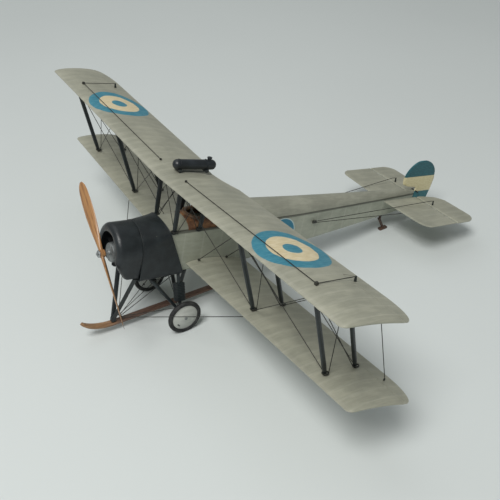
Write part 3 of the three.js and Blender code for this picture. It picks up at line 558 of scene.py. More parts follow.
def metal_paint(name, light, dark, metallic, roughness):
    paint = Paint(name, metallic=metallic)
    plan = paint.plan()
    cloud = paint.noise(plan, 11.0, 5.0, 0.6)
    scratch = paint.noise(paint.stretch(plan, (4.0, 60.0, 60.0)), 2.0, 4.0, 0.6)
    paint.colour(paint.tones(cloud, dark, light))
    paint.rough(paint.span(scratch, 0.3, 0.7, roughness - 0.08, roughness + 0.12))
    paint.bump(scratch, 0.003, 0.4)
    return paint.material


def tyre_rubber():
    paint = Paint("tyre_rubber", Specular_IOR_Level=0.4)
    plan = paint.plan()
    dust = paint.noise(plan, 14.0, 5.0, 0.65)
    fine = paint.noise(plan, 90.0, 3.0, 0.6)
    paint.colour(paint.mix(paint.span(dust, 0.40, 0.75), tint(30, 31, 32), tint(62, 63, 62)))
    paint.rough(paint.span(dust, 0.3, 0.7, 0.62, 0.82))
    paint.bump(fine, 0.005, 0.5)
    return paint.material


def disc_fabric():
    """Doped wheel cover, lighter than the wings."""
    paint = Paint("wheel_disc_fabric", metallic=0.2)
    paint.colour(dope_base(paint, paint.plan(), tint(196, 198, 192), tint(168, 170, 164)))
    return paint.material


def rudder_paint():
    """Blue, cream and blue bands across the rudder; the tallest is a darker blue."""
    paint = Paint("rudder_paint", Specular_IOR_Level=0.45)
    plan = paint.plan()
    up = paint.split(plan)[2]
    streak = paint.noise(paint.stretch(plan, (1.0, 5.0, 14.0)), 2.4, 5.0, 0.6)
    wobble = paint.math("ADD", up, paint.math("MULTIPLY", paint.math("SUBTRACT", streak, 0.5), 0.016))
    part = paint.span(streak, 0.35, 0.68)
    low = paint.mix(part, tint(44, 98, 106), tint(64, 122, 130))
    middle = paint.mix(part, tint(208, 198, 154), tint(222, 214, 178))
    high = paint.mix(part, tint(34, 86, 94), tint(50, 106, 114))
    colour = paint.mix(paint.span(wobble, 0.495, 0.51), low, middle)
    colour = paint.mix(paint.span(wobble, 0.895, 0.91), colour, high)
    paint.colour(colour)
    paint.rough(paint.span(streak, 0.3, 0.7, 0.42, 0.56))
    paint.bump(streak, 0.006, 0.4)
    return paint.material


def wire_paint():
    """Dark rigging thread, read in the object's own place because it keeps its CAD mesh."""
    paint = Paint("rigging_wire", metallic=0.3)
    spot = paint.object_place()
    cloud = paint.noise(spot, 16.0, 4.0, 0.6)
    paint.colour(paint.tones(cloud, tint(34, 36, 34), tint(70, 70, 64), high=0.7))
    paint.rough(paint.span(cloud, 0.3, 0.7, 0.45, 0.65))
    paint.bump(paint.noise(spot, 160.0, 2.0), 0.002, 0.4)
    return paint.material


WING = wing_paint("wing_fabric", marked=True)
PLAIN_WING = wing_paint("plain_wing_fabric", marked=False)
SIDE = fuselage_paint()
DECK = deck_paint()
COWL_BLACK = satin_black("cowl_paint", tint(35, 41, 44), tint(24, 29, 32), tint(62, 68, 69), 0.36, 0.22)
STRUT_BLACK = satin_black(
    "strut_paint", tint(38, 46, 48), tint(22, 28, 30), tint(74, 80, 78), 0.42, 0.5, (1, 1, 0.3),
)
TANK_BLACK = satin_black("tank_paint", tint(34, 40, 45), tint(22, 27, 31), tint(62, 67, 70), 0.36, 0.3)
PROP_WOOD = propeller_wood()
SKID_WOOD = skid_wood()
TAN_LEATHER = leather_paint("tan_leather", tint(162, 116, 76), tint(96, 62, 42))
RIM_LEATHER = leather_paint("rim_leather", tint(150, 116, 82), tint(84, 62, 44), 0.45)
SEAT_LEATHER = leather_paint("seat_leather", tint(110, 70, 46), tint(66, 42, 30))
ENGINE_METAL = metal_paint("engine_metal", tint(138, 142, 142), tint(100, 104, 104), 0.5, 0.42)
CYLINDER_METAL = metal_paint("cylinder_metal", tint(64, 66, 68), tint(36, 38, 40), 0.5, 0.48)
HUB_METAL = metal_paint("hub_metal", tint(176, 180, 180), tint(140, 144, 146), 0.6, 0.36)
RUBBER = tyre_rubber()
DISC = disc_fabric()
RUDDER = rudder_paint()
WIRE = wire_paint()


# ---- wings -------------------------------------------------------------------------------------
SAG = {"upper": 0.0035, "lower": 0.0075}
RIDGE = 0.0018


def on_wing(wing, x, d, h):
    """A place on a wing: x along the span, d behind the straight leading edge, h above the chord."""
    y = wing["y"] + d * math.cos(INCIDENCE) + h * math.sin(INCIDENCE)
    z = wing["z"] + abs(x) * wing["rise"] - d * math.sin(INCIDENCE) + h * math.cos(INCIDENCE)
    return Vector((x, y, z))


def camber_at(d):
    return 4 * CAMBER * d * (1 - d / CHORD)


def fullness(t):
    return max(2.6 * math.sqrt(max(t, 0)) * (1 - t), 0)


def skin_at(d):
    return max(HALF_THICKNESS * fullness(d / CHORD), EDGE)


def over_wing(wing, x, d, gap):
    return on_wing(wing, x, d, camber_at(d) + skin_at(d) + gap)


def under_wing(wing, x, d, gap):
    return on_wing(wing, x, d, camber_at(d) - skin_at(d) - gap)


def front_edge(x):
    start = TIP["front"] - TIP["nose"]
    if x <= start:
        return 0.0
    if x <= TIP["front"]:
        return TIP["nose"] * (1 - math.sqrt(max(1 - ((x - start) / TIP["nose"]) ** 2, 0)))
    return lerp(TIP["nose"], TIP["end"], (x - TIP["front"]) / (TIP["half"] - TIP["front"]))


def back_edge(wing, x):
    if wing is UPPER and x < CUT_OUT["half"]:
        return CHORD - CUT_OUT["depth"] * (1 - (x / CUT_OUT["half"]) ** 2)
    curl = (x - (TIP["half"] - TIP["curl"])) / TIP["curl"]
    if curl <= 0:
        return CHORD
    return CHORD - TIP["depth"] * (1 - math.sqrt(max(1 - curl**2, 0)))


def bay_phase(x):
    run = (abs(x) - RIB_START) / RIB_PITCH
    return run - math.floor(run)


def relief(wing, x, t):
    """Ribs stand a little proud, and the cloth sags between them."""
    sag = SAG["upper" if wing is UPPER else "lower"]
    phase = bay_phase(x)
    near = min(phase, 1 - phase) * RIB_PITCH
    ridge = RIDGE * max(1 - (near / RIB_WIDTH) ** 2, 0)
    reach = min(t / 0.05, 1) * min((1 - t) / 0.10, 1)
    return (ridge - sag * math.sin(math.pi * phase)) * max(reach, 0)


def section(wing, x, start, end):
    """One ring of a wing between two depths: back along the top, then forward underneath."""
    span = abs(x)
    front = front_edge(span)
    length = back_edge(wing, span) - front
    scallop = 0.004 * math.sin(math.pi * bay_phase(x)) if span < TIP["front"] - TIP["nose"] else 0
    first = max(start, front)
    last = min(end, front + length)
    size = math.sqrt(length / CHORD)
    power = 1.9 if first == front else 1.0

    def point(d, side):
        t = (d - front) / length
        half = max(HALF_THICKNESS * size * fullness(t), EDGE)
        h = camber_at(d) + side * (half + relief(wing, x, t))
        ease = scallop * max(1 - t / 0.08, 0) if power > 1 else 0
        return on_wing(wing, x, d + ease, h), (x, d, side)

    top = [point(first + (last - first) * (i / 28) ** power, 1) for i in range(29)]
    bottom = [point(first + (last - first) * (i / 18) ** power, -1) for i in range(18, -1, -1)]
    ring = top + bottom
    if power > 1:
        for turn in (-45, 0, 45):
            angle = math.radians(turn)
            h = camber_at(first) + EDGE * math.sin(angle)
            d = first + scallop - EDGE * math.cos(angle)
            ring.append((on_wing(wing, x, d, h), (x, first, math.sin(angle))))
    return ring


def wing_stations(start, end):
    step = RIB_PITCH / 10
    places = [RIB_START + step * i for i in range(-30, 260)]
    near_tip = steps(TIP["front"] - TIP["nose"], TIP["front"], 8) + steps(TIP["front"], TIP["half"], 16)
    if start < CUT_OUT["half"]:
        near_tip += steps(-CUT_OUT["half"], CUT_OUT["half"], 24)
    inside = [x for x in places + near_tip if start < x < end]
    return sorted(set([start, end] + inside))


def strip(shape, wing, start, end, front, back):
    rings = [section(wing, x, front, back) for x in wing_stations(start, end)]
    return shape.loft([[p for p, _ in ring] for ring in rings], plan=[[m for _, m in ring] for ring in rings])


def wing_panel(wing, root):
    seam = AILERON_ROOT - HINGE_GAP
    shape = strip(Shape(), wing, root, seam, 0, CHORD)
    return strip(shape, wing, seam, TIP["half"], 0, HINGE - HINGE_GAP)


def aileron_blade(wing):
    return strip(Shape(), wing, AILERON_ROOT, TIP["half"], HINGE, CHORD)


def plate(shape, outline, x, half):
    """A flat upright plate of a given (y, z) outline, with eased edges."""
    middle = sum((Vector((0, y, z)) for y, z in outline), Vector()) / len(outline)
    rings = []
    for h, inset in ((-half, 0.06), (-half * 0.5, 0), (half * 0.5, 0), (half, 0.06)):
        rings.append([Vector((x + h, y, z)).lerp(middle + X * (x + h), inset) for y, z in outline])
    return shape.loft(rings)


def aileron_horn():
    foot = over_wing(UPPER, HORN_X, HINGE + HORN_HEAD["behind"], 0)
    outline = [(-0.014, -0.02), (0.04, -0.02), (0.014, 0.10), (0.0, 0.108), (-0.014, 0.10)]
    return plate(Shape(), [(foot.y + y, foot.z + z) for y, z in outline], foot.x, 0.010)


def hinge_strip(wing):
    """The taped hinge line that closes most of the aileron gap, fixed to the wing."""
    rings = []
    for x in steps(AILERON_ROOT + 0.01, TIP["front"], 30):
        middle = HINGE - HINGE_GAP / 2
        low, high = camber_at(middle) - 0.5 * skin_at(middle), camber_at(middle) + skin_at(middle) - 0.0055
        corners = ((-0.005, low), (0.005, low), (0.005, high), (-0.005, high))
        rings.append([on_wing(wing, x, middle + d, h) for d, h in corners])
    return Shape().loft(rings)


def make_wings():
    centre = strip(Shape(), UPPER, -UPPER["root"], UPPER["root"], 0, CHORD)
    piece("wing_upper_centre", centre, PLAIN_WING, nodes=("upper_wing_centre",), slot="doped_fabric")
    for level, wing, paint in (("upper", UPPER, WING), ("lower", LOWER, PLAIN_WING)):
        root = wing["root"] if wing is LOWER else wing["root"] - 0.0005
        pair(f"wing_{level}", wing_panel(wing, root), paint, node=f"{level}_wing", slot="doped_fabric")
        body = f"{level}_aileron"
        pair(f"aileron_{level}", aileron_blade(wing), paint, body, body, slot="doped_fabric")
        pair(f"aileron_{level}_hinges", hinge_strip(wing), PLAIN_WING, slot="doped_fabric")
    pair("aileron_horn", aileron_horn(), STRUT_BLACK, "upper_aileron", slot="strut_black")


# ---- struts ------------------------------------------------------------------------------------
def streamlined(foot, head, long, thick):
    """A strut of teardrop section that narrows towards both ends."""
    foot, head = Vector(foot), Vector(head)
    length = (head - foot).length
    ends = [(0, 0.62), (0.03, 0.66), (0.10, 0.84), (0.22, 1.0)]
    marks = [(run / length, k) for run, k in ends]
    marks += [(1 - t, k) for t, k in reversed(marks)]
    rings = []
    for t, k in marks:
        centre = foot.lerp(head, t)
        ring = []
        for i in range(24):
            turn = 2 * math.pi * i / 24
            along = math.cos(turn)
            wide = math.sin(turn) * (1 - 0.28 * along)
            ring.append(centre + CHORDWISE * (along * long / 2 * k) + X * (wide * thick / 2 * k))
        rings.append(ring)
    return Shape().loft(rings)


def make_struts():
    sink = 0.012
    for bay, x in BAYS.items():
        for row, d in SPARS.items():
            foot, head = over_wing(LOWER, x, d, -sink), under_wing(UPPER, x, d, -sink)
            shape = streamlined(foot, head, STRUT["long"], STRUT["thick"])
            name = f"strut_{bay}_{row}"
            pair(f"interplane_{bay}_{row}", shape, STRUT_BLACK, node=name, slot="strut_black")
    for index, row in enumerate(("front", "rear")):
        foot = Vector((CABANE["x"], CABANE["feet"][index], LONGERON - 0.02))
        head = under_wing(UPPER, CABANE["x"], CABANE["tops"][index], -sink)
        shape = streamlined(foot, head, CABANE["long"], CABANE["thick"])
        shape.block(foot + Z * 0.026, (0.030, 0.060, 0.008), 0.003)
        pair(f"cabane_{row}", shape, STRUT_BLACK, node=f"cabane_strut_{row}", slot="strut_black")


# ---- fuselage ----------------------------------------------------------------------------------
WELL_END = 2.74


def cloth_sag(y, low, high, z):
    """How far the side cloth draws in between the frames and the longerons."""
    if y < WELL_END:
        return 0
    phase = (y / FRAME_PITCH + 0.5) % 1
    return 0.007 * math.sin(math.pi * phase) * math.sin(math.pi * min(max((z - low) / (high - low), 0), 1))


def tub_side(y, inset=0.0):
    """Points down one side and half the bottom of the fuselage."""
    half, floor = track(y, FUSELAGE)
    half -= inset
    low = WELL_FLOOR if inset else floor
    soft = 0.01 if inset else min(0.05, half * 0.3)
    points = []
    for z in steps(LONGERON, low + soft, 12):
        points.append(Vector((half - cloth_sag(y, low, LONGERON, z), y, z)))
    for turn in (22.5, 45, 67.5, 90):
        angle = math.radians(turn)
        points.append(Vector((half - soft + soft * math.cos(angle), y, low + soft - soft * math.sin(angle))))
    return points


def tub_ring(y, inset=0.0):
    side = tub_side(y, inset)
    return side + [Vector((-p.x, p.y, p.z)) for p in reversed(side)]


# Bulkheads across the cockpits: (y, half thickness).
BULKHEADS = [(0.47, 0.03), (1.09, 0.02), (1.74, 0.015)]


def fuselage():
    shape = Shape()
    front = [tub_ring(y) + list(reversed(tub_ring(y, WALL))) for y in steps(0.42, WELL_END, 24)]
    shape.loft(front)
    rear = [tub_ring(y) for y in steps(WELL_END, 7.585, 115)]
    shape.loft(rear)
    inside = FUSELAGE[0][1] - WALL - 0.001
    for y, thick in BULKHEADS:
        half = (inside, thick, (LONGERON - WELL_FLOOR) / 2)
        shape.block((0, y, (LONGERON + WELL_FLOOR) / 2), half, 0.004)
    return shape


def deck_point(y, turn, front, rear, inset=0.0):
    """A place on a deck whose half width and crown run straight between its two ends."""
    (y0, half0, crown0), (y1, half1, crown1) = front, rear
    part = (y - y0) / (y1 - y0)
    half = lerp(half0, half1, part) - inset
    rise = lerp(crown0, crown1, part) - LONGERON - inset
    return Vector((half * math.cos(turn), y, LONGERON + rise * math.sin(turn)))


def closed_deck(rows):
    rings = []
    for front, rear in zip(rows, rows[1:]):
        for y in steps(front[0], rear[0], 12):
            rings.append([deck_point(y, turn, front, rear) for turn in steps(0, math.pi, 28)])
    return Shape().loft(rings)


def holed_deck(front, rear, hole):
    """A thin curved deck with an oval hole, as a grid of small faces without those in the hole."""
    middle, length, width = hole
    ys = steps(front[0], rear[0], round((rear[0] - front[0]) / 0.018))
    turns = steps(0, math.pi, 48)

    def kept(i, j):
        if not (0 <= i < len(ys) - 1 and 0 <= j < len(turns) - 1):
            return False
        p = deck_point((ys[i] + ys[i + 1]) / 2, (turns[j] + turns[j + 1]) / 2, front, rear)
        return (p.x / (width / 2)) ** 2 + ((p.y - middle) / (length / 2)) ** 2 > 1

    shape = Shape()
    rows = len(turns)
    for inset in (0.0, 0.035):
        for y in ys:
            for turn in turns:
                shape.points.append(deck_point(y, turn, front, rear, inset))
    shape.plan = [tuple(p) for p in shape.points]
    under = len(ys) * rows
    for i in range(len(ys) - 1):
        for j in range(rows - 1):
            if not kept(i, j):
                continue
            a = i * rows + j
            b, c, d = a + 1, a + rows + 1, a + rows
            shape.faces += [(a, b, c, d), (under + d, under + c, under + b, under + a)]
            sides = ((a, b, i - 1, j), (b, c, i, j + 1), (c, d, i + 1, j), (d, a, i, j - 1))
            for p, q, row, column in sides:
                if not kept(row, column):
                    shape.faces.append((q, p, under + p, under + q))
    return shape


def rim(front, rear, hole, radius):
    """The padded roll round a cockpit hole."""
    middle, length, width = hole
    path = []
    for i in range(56):
        turn = 2 * math.pi * i / 56
        x = width / 2 * math.cos(turn)
        y = middle + length / 2 * math.sin(turn)
        part = (y - front[0]) / (rear[0] - front[0])
        half = lerp(front[1], rear[1], part)
        rise = lerp(front[2], rear[2], part) - LONGERON
        path.append(Vector((x, y, LONGERON + rise * math.sqrt(max(1 - (x / half) ** 2, 0)) + 0.004)))
    return Shape().tube(path, radius, 12, endless=True)


FRONT_DECK = ((1.135, DECK_HALF, 0.64), (1.765, DECK_HALF, 0.74))
REAR_DECK = ((1.765, DECK_HALF, 0.74), (2.745, DECK_HALF, 0.79))
FRONT_HOLE = (1.46, 0.52, 0.46)
REAR_HOLE = (2.37, 0.58, 0.50)


def seat(y):
    """A bucket seat with a cushion, at the front edge y."""
    shape = Shape()
    floor = WELL_FLOOR + 0.03
    shape.block((0, y + 0.15, floor + 0.09), (0.19, 0.15, 0.085), 0.02)
    shape.block((0, y + 0.135, floor + 0.19), (0.175, 0.13, 0.028), 0.024)
    shape.block((0, y + 0.285, floor + 0.33), (0.19, 0.028, 0.26), 0.02)
    shape.block((0, y + 0.255, floor + 0.38), (0.165, 0.014, 0.18), 0.012)
    return shape


DIALS = [
    (0.0, 0.40, 0.055), (-0.17, 0.38, 0.045), (0.17, 0.38, 0.045), (-0.09, 0.29, 0.03), (0.09, 0.29, 0.03),
]


def cockpit_fittings(y):
    """Instrument board with dials and a control column with a ring grip, for one cockpit."""
    shape = Shape()
    shape.block((0, y, 0.36), (0.30, 0.010, 0.12), 0.004)
    for x, z, radius in DIALS:
        bezel = [(radius, 0), (radius, 0.016), (radius * 0.85, 0.02), (radius * 0.8, 0.014), (0.004, 0.013)]
        shape.lathe(bezel, (x, y + 0.008, z), Y, 20)
    shape.rod((0, y + 0.16, WELL_FLOOR + 0.03), (0, y + 0.19, 0.22), 0.014, 12)
    grip = oval(Vector((0, y + 0.19, 0.26)), X, Z, 0.05, 0.05, 20)
    return shape.tube(grip, 0.010, 10, endless=True)


SCUTTLE = [(0.60, DECK_HALF, 0.565), (0.84, DECK_HALF, 0.578), (1.135, DECK_HALF, 0.622)]
AFT_DECK = [
    (2.745, DECK_HALF, 0.79), (3.96, 0.30, 0.71), (5.53, 0.195, 0.65), (6.60, 0.12, 0.62),
    (7.30, 0.068, 0.57), (7.585, 0.036, 0.54),
]


def make_fuselage():
    piece("fuselage_body", fuselage(), SIDE, nodes=("fuselage_shell",), slot="doped_fabric")
    decks = (
        ("deck_scuttle", closed_deck(SCUTTLE), DECK, "scuttle_deck"),
        ("cockpit_rear_coaming", holed_deck(*REAR_DECK, REAR_HOLE), DECK, "rear_coaming"),
        ("deck_rear", closed_deck(AFT_DECK), DECK, "rear_deck"),
    )
    for name, shape, paint, node in decks:
        piece(name, shape, paint, nodes=(node,), slot="deck_fabric")
    coaming = holed_deck(*FRONT_DECK, FRONT_HOLE)
    piece("cockpit_front_coaming", coaming, TAN_LEATHER, nodes=("front_coaming",), slot="coaming_leather")
    piece("cockpit_front_rim", rim(*FRONT_DECK, FRONT_HOLE, 0.042), RIM_LEATHER, slot="coaming_leather")
    piece("cockpit_rear_rim", rim(*REAR_DECK, REAR_HOLE, 0.028), TAN_LEATHER, slot="coaming_leather")
    seats = seat(1.40).take(seat(2.28))
    seats.block((0, 1.92, WELL_FLOOR + 0.018), (0.30, 0.77, 0.014), 0.004)
    piece("seats", seats, SEAT_LEATHER, nodes=("cockpit_seats",), slot="coaming_leather")
    fittings = cockpit_fittings(1.17).take(cockpit_fittings(1.80))
    piece("cockpit_fittings", fittings, TANK_BLACK, slot="strut_black")


# ---- cowling, engine and propeller -------------------------------------------------------------
def horseshoe():
    """Places and inward directions round the front cowl, from the right foot to the left foot."""
    side = []
    for z in steps(COWL["low"], 0.07, 15):
        part = (z - COWL["low"]) / (COWL["middle"] - COWL["low"])
        side.append((lerp(COWL["low_half"], COWL["radius"], part), z, (-1, 0)))
    arc = []
    for turn in steps(0, math.pi, 60):
        x, z = COWL["radius"] * math.cos(turn), COWL["middle"] + COWL["radius"] * math.sin(turn)
        arc.append((x, z, (-math.cos(turn), -math.sin(turn))))
    return side + arc + [(-x, z, (1, 0)) for x, z, _ in reversed(side)]


def cowl_front():
    lip, seam = COWL_FRONT["lip"], COWL_FRONT["seam"]
    start = COWL_FRONT["face"] + lip
    profile = [(seam, 0), (lerp(seam, start, 0.5), 0), (start, 0)]
    turns = [math.radians(12 * i) for i in range(1, 11)]
    profile += [(start - lip * math.sin(turn), lip - lip * math.cos(turn)) for turn in turns]
    inner = lip - COWL["wall"]
    profile += [(start - inner * math.sin(turn), lip - inner * math.cos(turn)) for turn in reversed(turns)]
    profile += [(start, COWL["wall"]), (seam, COWL["wall"])]
    rings = []
    for x, z, inward in horseshoe():
        fall = min(max((-0.02 - z) / 0.36, 0), 1)
        ring = []
        for y, inset in profile:
            front = (seam - y) / (seam - COWL_FRONT["face"])
            depth = inset if inset <= COWL["wall"] else lerp(inset, COWL["wall"] + 0.02, 0.7 * fall)
            ring.append(Vector((x + inward[0] * depth, y + 0.20 * fall**1.3 * front, z + inward[1] * depth)))
        rings.append(ring)
    return Shape().loft(rings)


def cowl_loop(form, grow):
    """One closed outline of the rear cowl, as (x, z) rows."""
    soft = 0.07
    points = []
    for cx, start in ((-form["half"] + soft, 180), (form["half"] - soft, 270)):
        for turn in steps(start, start + 90, 6):
            angle = math.radians(turn)
            up = form["low"] + soft + (soft + grow) * math.sin(angle)
            points.append((cx + (soft + grow) * math.cos(angle), up))
    rise = form["crown"] - form["shoulder"] + grow
    for turn in steps(0, math.pi, 48):
        points.append(((form["half"] + grow) * math.cos(turn), form["shoulder"] + rise * math.sin(turn)))
    return points


def cowl_at(part, grow):
    """The outline of the rear cowl a part of the way from its seam to its raked back edge."""
    seam = [Vector((x, COWL_FRONT["seam"] + 0.015, z)) for x, z in cowl_loop(COWL_SEAM, grow)]
    back = [Vector((x, 0.66 + 0.42 * (COWL_REAR["crown"] - z), z)) for x, z in cowl_loop(COWL_REAR, grow)]
    return [a.lerp(b, part) for a, b in zip(seam, back)]


def cowl_rear():
    parts = steps(0, 1, 14)
    loops = [cowl_at(part, 0) for part in parts] + [cowl_at(part, -COWL["wall"]) for part in reversed(parts)]
    return Shape().loft(loops, endless=True)


def cowl_trim():
    """A bead at the seam and at the back edge, and rows of rivets beside them."""
    shape = Shape()
    shape.tube(cowl_at(0.0, 0.001), 0.008, 8, endless=True)
    shape.tube(cowl_at(0.985, 0.001), 0.008, 8, endless=True)
    for part in (0.05, 0.93):
        loop = cowl_at(part, 0.0)
        middle = sum(loop, Vector()) / len(loop)
        for point in loop[::2]:
            out = point - middle
            out.y = 0
            shape.dome(point, out, 0.0085, 0.006, 10)
    return shape


CYLINDERS = 9
FINS = {"count": 11, "start": 0.18, "pitch": 0.018}


def cylinder(angle):
    """One finned cylinder with its head, push rod and inlet pipe."""
    out = Vector((math.cos(angle), 0, math.sin(angle)))
    centre = Vector((0, -0.10, 0))
    profile = [(0.05, 0.13), (0.05, 0.17)]
    for i in range(FINS["count"]):
        run = FINS["start"] + i * FINS["pitch"]
        profile += [(0.046, run), (0.064, run + 0.002), (0.064, run + 0.008), (0.046, run + 0.010)]
    profile += [(0.05, 0.385), (0.052, 0.40), (0.03, 0.415), (0.012, 0.42)]
    shape = Shape().lathe(profile, centre, out, 24)
    side = Vector((-out.z, 0, out.x))
    shape.rod(centre + out * 0.15 + Y * -0.07, centre + out * 0.40 + Y * -0.055, 0.007, 8)
    bends = ((0.14, 0.045), (0.25, 0.066), (0.36, 0.05), (0.395, 0.02))
    shape.tube([centre + out * run + side * beside + Y * 0.05 for run, beside in bends], 0.013, 10)
    shape.rod(centre + out * 0.405 - side * 0.02, centre + out * 0.405 + side * 0.028, 0.010, 8)
    return shape


def crankcase():
    """The drum that carries the cylinders, its front cover with a ring of bolts, and the shaft."""
    shape = Shape()
    drum = [(0.06, -0.01), (0.165, -0.012), (0.175, -0.03), (0.175, -0.17), (0.165, -0.188), (0.14, -0.192)]
    cover = [(0.19, -0.185), (0.192, -0.265), (0.180, -0.292), (0.140, -0.305), (0.06, -0.312)]
    shape.lathe(drum, (0, 0, 0), Y, 40)
    shape.lathe(cover + [(0.045, -0.33), (0.04, -0.40)], (0, 0, 0), Y, 48)
    for i in range(CYLINDERS):
        angle = math.radians(90 + (i + 0.5) * 360 / CYLINDERS)
        shape.dome((0.160 * math.cos(angle), -0.300, 0.160 * math.sin(angle)), -Y, 0.010, 0.010, 8)
    shape.rod((0, -0.54, 0), (0, 0.46, 0), 0.031, 24)
    return shape


def hub_plate():
    """The plate that clamps the propeller, its bolts, and the shaft's end."""
    face = [(0.030, -0.499), (0.070, -0.500), (0.072, -0.515), (0.066, -0.522), (0.03, -0.525)]
    shape = Shape().lathe(face + [(0.028, -0.552), (0.01, -0.556)], (0, 0, 0), Y, 32)
    for i in range(8):
        angle = 2 * math.pi * i / 8
        shape.dome((0.052 * math.cos(angle), -0.522, 0.052 * math.sin(angle)), -Y, 0.008, 0.008, 6)
    return shape


BLADE = [
    (0.02, 0.085, 0.070, 40), (0.12, 0.090, 0.060, 42), (0.28, 0.125, 0.050, 38), (0.50, 0.185, 0.042, 31),
    (0.80, 0.235, 0.034, 27), (1.08, 0.240, 0.026, 25), (1.30, 0.215, 0.020, 24), (1.42, 0.160, 0.016, 23),
    (PROPELLER["radius"], 0.060, 0.010, 23),
]


def eased_rows(table, count):
    """Rows sampled along a table and smoothed, so that no section shows a corner."""
    rows = [[z] + track(z, table) for z in steps(table[0][0], table[-1][0], count)]
    for _ in range(2):
        eased = []
        for before, here, after in zip(rows, rows[1:], rows[2:]):
            eased.append([(a + 2 * b + c) / 4 for a, b, c in zip(before, here, after)])
        rows = [rows[0]] + eased + [rows[-1]]
    return rows


def propeller():
    spin = Matrix.Rotation(PROPELLER["angle"], 3, "Y")
    raw = Shape()
    for flip in (1, -1):
        rings = []
        for z, width, depth, pitch in eased_rows(BLADE, 60):
            angle = math.radians(pitch)
            across = Vector((math.cos(angle), math.sin(angle), 0))
            through = Vector((-math.sin(angle), math.cos(angle), 0))
            ring = []
            for i in range(24):
                turn = 2 * math.pi * i / 24
                thick = math.sin(turn) * (0.36 if math.sin(turn) > 0 else 0.64)
                p = across * (width / 2 * math.cos(turn)) + through * (depth * thick) + Z * z
                ring.append(Vector((p.x * flip, p.y, p.z * flip)))
            rings.append(ring)
        raw.loft(rings)
    half_hub = [(0.032, 0.05), (0.068, 0.05), (0.075, 0.042)]
    hub = [(radius, -run) for radius, run in half_hub] + half_hub[::-1]
    raw.lathe(hub, (0, 0, 0), Y, 36)
    return Shape().take(raw, lambda point: spin @ point + Y * HUB_Y)


def make_nose():
    piece("cowl_front_ring", cowl_front(), COWL_BLACK, nodes=("cowl_front",), slot="cowl_black", sharp=50)
    piece("cowl_rear_shell", cowl_rear(), COWL_BLACK, nodes=("cowl_rear",), slot="cowl_black", sharp=50)
    piece("cowl_trim", cowl_trim(), STRUT_BLACK, slot="cowl_black")
    cylinders = Shape()
    for i in range(CYLINDERS):
        cylinders.take(cylinder(math.radians(90 + i * 360 / CYLINDERS)))
    piece("engine_cylinders", cylinders, CYLINDER_METAL, "propeller", slot="engine_metal")
    core = crankcase()
    piece("engine_crankcase", core, ENGINE_METAL, "propeller", nodes=("rotary_engine",), slot="engine_metal")
    piece("propeller_hub_plate", hub_plate(), HUB_METAL, "propeller", slot="engine_metal")
    blades = propeller()
    piece("propeller_blades", blades, PROP_WOOD, "propeller", nodes=("propeller",), slot="propeller_wood")


# ---- undercarriage -----------------------------------------------------------------------------
def smooth_path(points, count):
    """Points on a Catmull-Rom curve through the given ones."""
    points = [Vector(p) for p in points]
    full = [points[0] * 2 - points[1]] + points + [points[-1] * 2 - points[-2]]
    path = []
    for a, b, c, d in zip(full, full[1:], full[2:], full[3:]):
        for i in range(count):
            t = i / count
            square, cube = 2 * a - 5 * b + 4 * c - d, 3 * b - a - 3 * c + d
            path.append(0.5 * (2 * b + (c - a) * t + square * t**2 + cube * t**3))
    return path + [points[-1]]


def squared(value, power):
    """Keeps the sign of a value and raises its size to a power, which squares off a round section."""
    return math.copysign(abs(value) ** power, value)


def landing_skid():
    """A plank that turns up at the nose; each row is (width part, y, z)."""
    rows = [
        (0.20, -0.74, -1.515), (0.62, -0.68, -1.56), (0.92, -0.55, -1.62), (1, -0.36, -1.655),
        (1, -0.10, -1.645), (1, 0.60, -1.515), (0.95, 1.40, -1.367), (0.9, 2.10, -1.235),
        (0.45, 2.14, -1.228),
    ]
    path = smooth_path(rows, 10)
    rings = []
    for i, (part, y, z) in enumerate(path):
        before, after = path[max(i - 1, 0)], path[min(i + 1, len(path) - 1)]
        along = Vector((0, after.y - before.y, after.z - before.z)).normalized()
        over = X.cross(along)
        ring = []
        for k in range(24):
            turn = 2 * math.pi * k / 24
            wide = squared(math.cos(turn), 0.45) * 0.075 * part
            deep = squared(math.sin(turn), 0.45) * 0.031
            ring.append(Vector((0, y, z)) + X * wide + over * deep)
        rings.append(ring)
    return Shape().loft(rings)


def skid_struts():
    front, rear = Shape(), Shape()
    for side in (-1, 1):
        front.bar(SKID_FOOT + X * side * 0.01, (side * 0.36, 0.10, -0.44), Y, X, 0.048, 0.031, 16)
        rear.bar((0, 1.30, -1.302), (side * 0.34, 1.17, -0.43), Y, X, 0.043, 0.029, 16)
    front.block(SKID_FOOT, (0.05, 0.045, 0.045), 0.012)
    rear.block((0, 1.30, -1.302), (0.042, 0.04, 0.04), 0.010)
    return front, rear


def spring_leg():
    """A leg with its cord-wound box, radius rod and axle block, on the left side."""
    hub = Vector((0.60, WHEEL["y"], WHEEL["z"]))
    head = Vector((0.355, 1.02, -0.43))
    along = (head - hub).normalized()
    side = along.cross(Y).normalized()
    shape = Shape().rod(hub, head, 0.034, 16)
    shape.bar(hub, (0.36, 0.36, -0.43), Y, X, 0.042, 0.028, 16)
    shape.block(hub, (0.055, 0.055, 0.055), 0.014)
    low, high = hub.lerp(head, 0.29), hub.lerp(head, 0.72)
    middle = low.lerp(high, 0.5)
    shape.block(middle, (0.062, 0.100, (high - low).length / 2 - 0.004), 0.03, (side, Y, along))
    turns = 11
    for i in range(turns):
        centre = low.lerp(high, (i + 0.5) / turns)
        path = []
        for k in range(28):
            t = 2 * math.pi * k / 28
            wide, deep = squared(math.cos(t), 0.6), squared(math.sin(t), 0.6)
            path.append(centre + side * (0.066 * wide) + Y * (0.106 * deep))
        shape.tube(path, 0.0135, 8, endless=True)
    return shape


